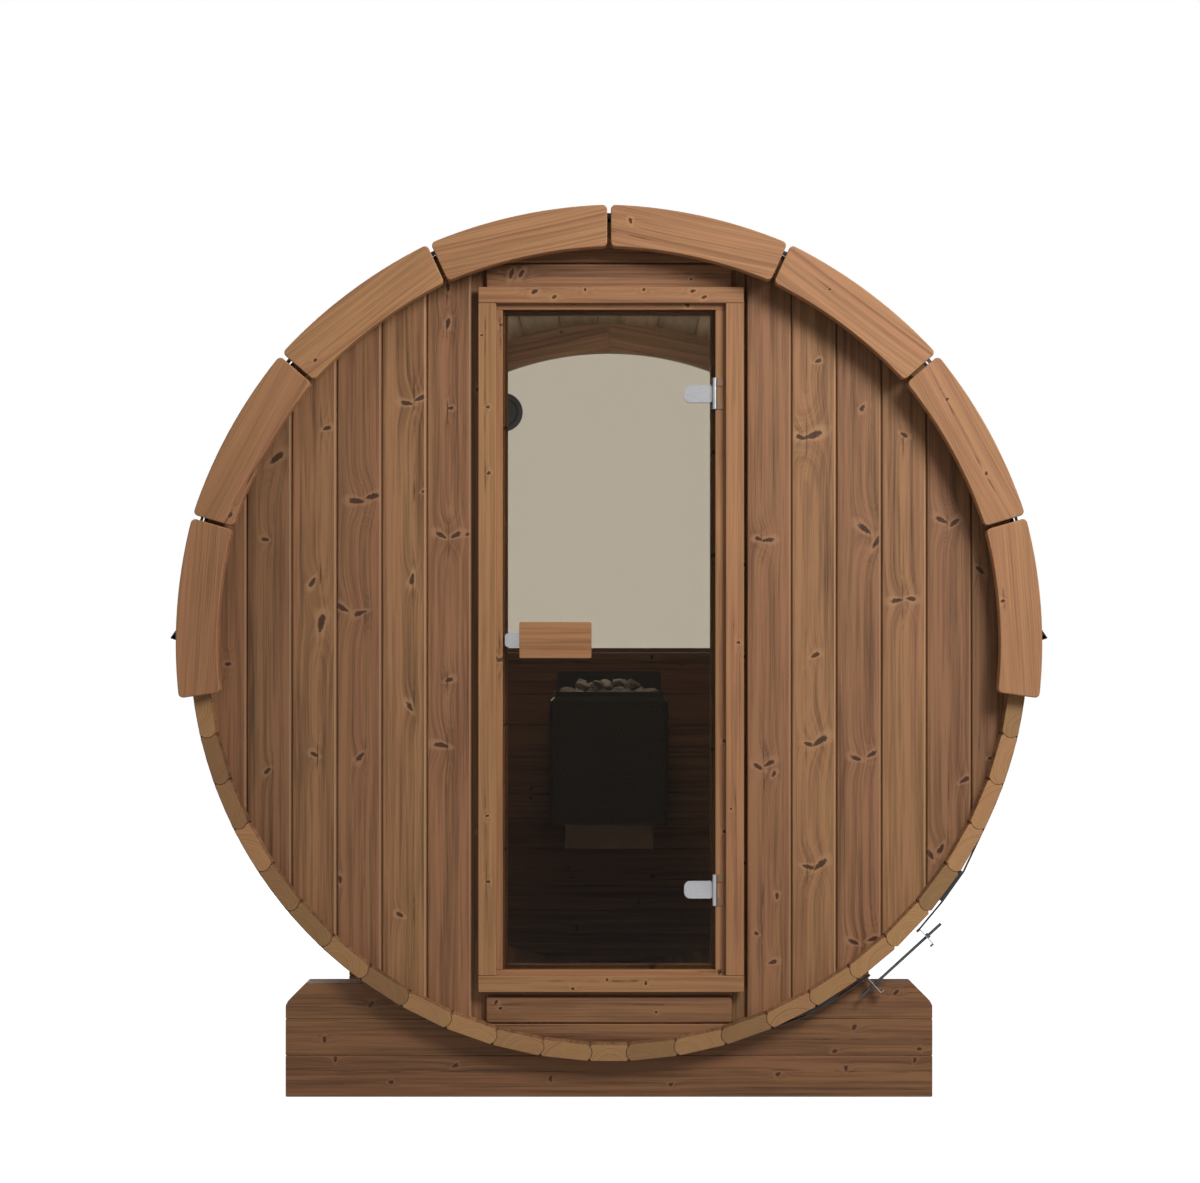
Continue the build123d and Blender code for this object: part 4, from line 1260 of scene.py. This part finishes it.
def make_cradles():
    for name, seed in (("cradle_front", 61), ("cradle_rear", 62)):
        _, half, near, far, _, top = node_box(name)
        timber = Timber(seed)
        heights = cradle_joints + (top,)
        for low, high in zip(heights, heights[1:]):
            for outline in cradle_outlines(low, high, half, top):
                left = min(x for x, y in outline)
                right = max(x for x, y in outline)
                placed = [knot for knot in cradle_knots if low < knot[1] < high and left < knot[0] < right]
                bm = prism(outline, near, far, 0.0020, 1)
                tone = timber.chance.uniform(-0.25, 0.25)
                timber.add_board(bm, across_barrel, (1, 0), placed, 0.15, tone, 0.0)
        timber.make(f"{name}_planks", cradle_timber, "cradle_wood", "sauna", [name])


make_cradles()


# Metal, glass and other solids that keep their shape get eased edges
def eased_solid(node, material, body, width):
    """A copy of a solid with its sharp edges rounded off."""
    bm = bmesh.new()
    bm.from_mesh(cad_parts[node].data)
    bmesh.ops.remove_doubles(bm, verts=bm.verts, dist=0.00001)
    bmesh.ops.dissolve_limit(bm, angle_limit=radians(1.0), verts=bm.verts, edges=bm.edges)
    bevel(bm, sharp_edges(bm, 30), width, 2)
    mesh = bpy.data.meshes.new(f"{node}_eased")
    bm.to_mesh(mesh)
    bm.free()
    piece = place_mesh(f"{node}_eased", mesh, material)
    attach(piece, body)
    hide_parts(node)
    return piece


def dress(node, material):
    """Gives a solid that keeps its own shape its material."""
    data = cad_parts[node].data
    data.materials.clear()
    data.materials.append(material)


def make_door_fittings():
    """The pane, the hinges and the latch. Beside the knuckle the hinge plates get the frame's brown as
    painted shade, so that they sink into the reveal.
    """
    eased_solid("door_glass", bronze_glass, "door", 0.0008)
    eased_solid("hinge_leaves", satin_chrome, "door", 0.0018)
    plates = eased_solid("hinge_plates", satin_chrome, "sauna", 0.0005)
    plates.data.materials.append(plate_painted_shade)
    beside_knuckle = node_box("hinge_leaves")[1] + 0.0004
    for face in plates.data.polygons:
        if face.center.x > beside_knuckle:
            face.material_index = 1
    eased_solid("latch_plate", satin_chrome, "door", 0.0010)


make_door_fittings()


def make_handles():
    """A wooden block on each side of the pane, on two pegs."""
    block = 0.028
    peg_radius = 0.008
    glass_front, glass_back = node_box("door_glass")[2:4]
    for name, seed in (("handle_outer", 71), ("handle_inner", 72)):
        left, right, near, far, low, high = node_box(name)
        outside = name == "handle_outer"
        face, back = (near, near + block) if outside else (far - block, far)
        timber = Timber(seed)
        outline = rounded_corners(rectangle(left, right, low, high), 0.004, steps=3)
        bm = prism(outline, face, back, 0.0025, 3)
        timber.add_board(bm, across_barrel, (1, 0), knotty=0.2, tone=0.0, warmth=0.2)
        start, end = (back, glass_front) if outside else (glass_back, face)
        for share in (0.25, 0.75):
            middle = (left + (right - left) * share, (low + high) / 2)
            bm = prism(arc_points(middle, peg_radius, 0, 345, 23), start, end, 0)
            timber.add_board(bm, across_barrel, (1, 0), knotty=0.0)
        timber.make(f"{name}_block", handle_timber, "handle_wood", "door", [name])


make_handles()


def make_rear_window():
    dress("rear_window_glass", clear_glass)
    left, right, near, far, low, high = node_box("vent_valve")
    outer = (right - left) / 2
    neck = 0.045
    rim = near + 0.0085
    profile = (
        (0, near + 0.003), (0.032, near + 0.003), (0.036, near + 0.0045), (0.041, near + 0.0065),
        (0.043, near + 0.0065), (0.046, near + 0.001), (0.052, near), (outer - 0.002, near + 0.002),
        (outer, near + 0.004), (outer, rim - 0.0005), (neck, rim), (neck, far), (0, far),
    )
    valve = Gathered()
    centre = ((left + right) / 2, (low + high) / 2)
    valve.add(turned(profile, 48), lambda x, y, depth: (centre[0] + x, depth, axis_height + centre[1] + y))
    valve.make("vent_valve_turned", vent_plastic, "vent_black", "sauna", ["vent_valve"])


make_rear_window()


# Heater: eased sheet casing and a heap of split stones
def split_stone(chance, size):
    """An angular stone with softened edges, as large across as size."""
    bm = bmesh.new()
    bm.faces.layers.int.new("arris")
    for _ in range(16):
        way = Vector((chance.gauss(0, 1), chance.gauss(0, 1), chance.gauss(0, 1))).normalized()
        spot = Vector((way.x, way.y * 0.85, way.z * 0.7)) * size * chance.uniform(0.44, 0.52)
        bm.verts.new(spot)
    made = bmesh.ops.convex_hull(bm, input=bm.verts)
    unused = made["geom_interior"] + made["geom_unused"]
    loose = {item for item in unused if isinstance(item, bmesh.types.BMVert)}
    bmesh.ops.delete(bm, geom=list(loose), context="VERTS")
    bevel(bm, bm.edges, size * 0.05, 2)
    bmesh.ops.recalc_face_normals(bm, faces=bm.faces)
    return bm


def make_heater():
    eased_solid("heater_casing", heater_enamel, "sauna", 0.0010)
    eased_solid("heater_back_plate", heater_enamel, "sauna", 0.0010)
    eased_solid("heater_control_box", control_sheet, "sauna", 0.0015)
    left, right, near, far, low, high = node_box("heater_stones")
    chance = random.Random(81)
    heap = Gathered()
    for depth, inset in ((0.074, 0.020), (0.048, 0.026), (0.022, 0.070)):
        y = near + inset
        while y < far - inset + 0.001:
            x = left + inset + chance.uniform(0, 0.010)
            while x < right - inset + 0.001:
                size = chance.uniform(0.034, 0.052)
                place = Vector((x, y + chance.uniform(-0.006, 0.006), axis_height + high - depth))
                place.z += chance.uniform(-0.010, 0.006)
                heap.add(split_stone(chance, size), lambda a, b, c: tuple(place + Vector((a, b, c))))
                x += size * 0.93
            y += 0.041
    heap.make("heater_stone_heap", stone_grey, "stone", "sauna", ["heater_stones"])


make_heater()


# Roof covering: long strips of felt laid like shingles from both eaves up to a ridge strip, and nailed
felt_thickness = 0.0036
felt_step = 0.0042
felt_base = barrel_radius + 0.0002
felt_arris = 0.0006
nail_pitch = 0.0915
nail_inset = 0.9


def felt_strip(start, end, start_radius, end_radius, lapped):
    """A strip's section; the radii are its upper face's. Past its lapped share it lies on the staves."""
    steps = 14
    upper = []
    lower = []
    for i in range(steps + 1):
        share = i / steps
        angle = start + (end - start) * share
        radius = start_radius + (end_radius - start_radius) * share
        upper.append(ring_point(angle, radius))
        lower.append(ring_point(angle, felt_base if lapped < share else radius - felt_thickness))
    return upper + lower[::-1]


def ring_place(angle, radius, y):
    """From along the barrel, round it and out to the world, at a place on it."""
    x, z = ring_point(angle, radius)
    turn = radians(angle)

    def to_world(along, around, out):
        return (
            x + out * cos(turn) - around * sin(turn),
            y + along,
            axis_height + z + out * sin(turn) + around * cos(turn),
        )

    return to_world


def add_nails(pieces, angle, radius):
    """A row of flat nail heads along the barrel."""
    head = ((0, -0.0006), (0.0045, -0.0006), (0.0048, 0.0002), (0.003, 0.0009), (0, 0.0010))
    for i in range(floor((rear_end - front_end) / nail_pitch)):
        pieces.add(turned(head, 10), ring_place(angle, radius, front_end + nail_pitch * (i + 0.5)))


def make_roofing():
    *_, low, top = node_box("roofing")
    eaves = degrees(asin(low / top))
    ridge_half = 8.0
    lap = 2.2
    courses = 4
    step = (90 - ridge_half - eaves) / courses
    felt = Gathered()
    nails = Gathered()
    for side in (-1, 1):
        for number in range(courses):
            start = eaves + number * step
            end = start + step + lap
            section = felt_strip(start, end, top, top - felt_step, lap / (step + lap) if number else -1)
            section = [(side * x, y) for x, y in section]
            felt.add(prism(section, front_end, rear_end, felt_arris, 1), across_barrel)
            if number:
                angle = start + nail_inset
                add_nails(nails, angle if side > 0 else 180 - angle, top - 0.0003)
        add_nails(nails, 90 + side * (ridge_half - nail_inset), top)
    ridge = felt_strip(90 - ridge_half, 90 + ridge_half, top, top, 2)
    felt.add(prism(ridge, front_end, rear_end, felt_arris, 1), across_barrel)
    felt.make("roofing_strips", roofing_felt, "roof_black", "sauna", ["roofing"])
    nails.make("roofing_nails", zinc_plate, "roof_black", "sauna", [])


make_roofing()


def make_sheet_edges():
    for name in ("drip_edge_right", "drip_edge_left"):
        eased_solid(name, black_paint, "sauna", 0.0004)
    dress("verge_trims", black_paint)


make_sheet_edges()


# Straps, with their pads, lugs, threaded rods and nuts
def threaded_profile(radius, half_length, pitch, depth):
    """A rod's profile with a groove at each turn of its thread."""
    profile = [(0, -half_length), (radius - depth, -half_length)]
    turns = floor(2 * half_length / pitch)
    for i in range(turns):
        start = -half_length + i * pitch
        profile.append((radius, start + pitch * 0.4))
        profile.append((radius - depth, start + pitch * 0.9))
    return profile + [(radius - depth, half_length), (0, half_length)]


def make_straps():
    """Each strap is drawn tight by a threaded rod with a nut at each lug."""
    for name in ("strap_front", "strap_rear"):
        dress(name, black_paint)
    eased_solid("strap_pads", pad_rubber, "sauna", 0.0010)
    eased_solid("strap_lugs", zinc_plate, "sauna", 0.0004)
    half_length = 0.1405
    lug_spread = 0.092
    nut_height = 0.007
    rods = Gathered()
    for name in ("strap_front", "strap_rear"):
        near, far = node_box(name)[2:4]
        on_barrel = ring_place(strap_mid_angle, rod_distance, (near + far) / 2)

        def place(across, out, along):
            return on_barrel(across, along, out)

        rods.add(turned(threaded_profile(0.004, half_length, 0.0018, 0.0006), 14), place)
        hexagon = arc_points((0, 0), 0.0075, 0, 300, 5)
        for start in (lug_spread + fit_gap, -lug_spread - fit_gap - nut_height):
            rods.add(prism(hexagon, start, start + nut_height, 0.0007), place)
    rods.make("tension_rods_threaded", rod_steel, "zinc_steel", "sauna", ["tension_rods"])


make_straps()


# Floor, light and camera
def seen_ray(tree):
    """One where the eye looks, straight, mirrored or through glass, and nought where only light arrives."""
    ray = add_node(tree, "ShaderNodeLightPath").outputs
    mirrored = maths(tree, "MAXIMUM", ray["Is Glossy Ray"], ray["Is Transmission Ray"])
    return maths(tree, "MAXIMUM", ray["Is Camera Ray"], mirrored)


def make_stage():
    """A pale grey floor that only the eye sees as white."""
    mesh = bpy.data.meshes.new("studio_floor")
    bm = bmesh.new()
    bmesh.ops.create_circle(bm, cap_ends=True, radius=60.0, segments=96)
    bm.to_mesh(mesh)
    bm.free()
    material, tree, shader = new_material("studio_white")
    shader.inputs["Base Color"].default_value = (0.34, 0.34, 0.34, 1)
    shader.inputs["Roughness"].default_value = 0.9
    shader.inputs["Specular IOR Level"].default_value = 0.0
    shader.inputs["Emission Color"].default_value = (1, 1, 1, 1)
    plug(tree, shader.inputs["Emission Strength"], times(tree, seen_ray(tree), 0.875))
    mesh.materials.append(material)
    disc = bpy.data.objects.new("studio_floor", mesh)
    disc.location.z = -0.0005
    bpy.context.scene.collection.objects.link(disc)


def add_softbox(name, place, aim, width, power, colour=(1, 1, 1)):
    """A square softbox at a place, turned to what it lights."""
    lamp = bpy.data.lights.new(name, "AREA")
    lamp.color = colour
    lamp.size = width
    lamp.energy = power
    holder = bpy.data.objects.new(name, lamp)
    holder.location = place
    holder.rotation_euler = (Vector(aim) - Vector(place)).to_track_quat("-Z", "Y").to_euler()
    bpy.context.scene.collection.objects.link(holder)
    return holder


def add_sky_light(name, way, spread, strength):
    """A broad soft light that shines from far away along a way."""
    lamp = bpy.data.lights.new(name, "SUN")
    lamp.angle = radians(spread)
    lamp.energy = strength
    holder = bpy.data.objects.new(name, lamp)
    holder.rotation_euler = Vector(way).to_track_quat("-Z", "Y").to_euler()
    bpy.context.scene.collection.objects.link(holder)


def make_light():
    world = bpy.data.worlds.new("studio")
    bpy.context.scene.world = world
    world.use_nodes = True
    tree = world.node_tree
    sky = tree.nodes["Background"]
    sky.inputs["Color"].default_value = (1, 1, 1, 1)
    plug(tree, sky.inputs["Strength"], rescale(tree, seen_ray(tree), 0.0, 1.0, 0.22, 1.0))
    add_softbox("key_softbox", (2.1, -4.0, 3.4), (0, -0.9, 1.2), 1.5, 156)
    add_softbox("back_softbox", (-2.0, 5.0, 3.6), (0, 0.9, 1.2), 3.0, 210)
    below_crown = (0, 0.5, axis_height + 1.0)
    on_heater = (0, 0.60, axis_height)
    glow = add_softbox("ceiling_glow", (0, 0.35, axis_height + 0.10), below_crown, 0.6, 14, (0.45, 0.70, 1.0))
    down = add_softbox("heater_light", (0, 0.30, axis_height + 0.97), on_heater, 0.3, 5.0)
    for lamp in (glow, down):
        lamp.visible_camera = False
        lamp.visible_glossy = False
        lamp.visible_transmission = False
    add_sky_light("top_light", (0.1, 0.3, -1.0), 70, 0.5)


def make_camera():
    """A long lens at the height of the door, level, with its picture shifted up."""
    camera = bpy.data.cameras.new("camera")
    camera.sensor_width = 36.0
    camera.sensor_fit = "HORIZONTAL"
    camera.lens = 77.8
    camera.shift_x = -0.0075
    camera.shift_y = 0.0471
    camera.clip_end = 200
    holder = bpy.data.objects.new("camera", camera)
    holder.location = (0, -7.515, 1.152)
    holder.rotation_euler = (radians(90), 0, 0)
    bpy.context.scene.collection.objects.link(holder)
    bpy.context.scene.camera = holder


make_stage()
make_light()
make_camera()
bpy.context.scene.view_settings.view_transform = "Standard"
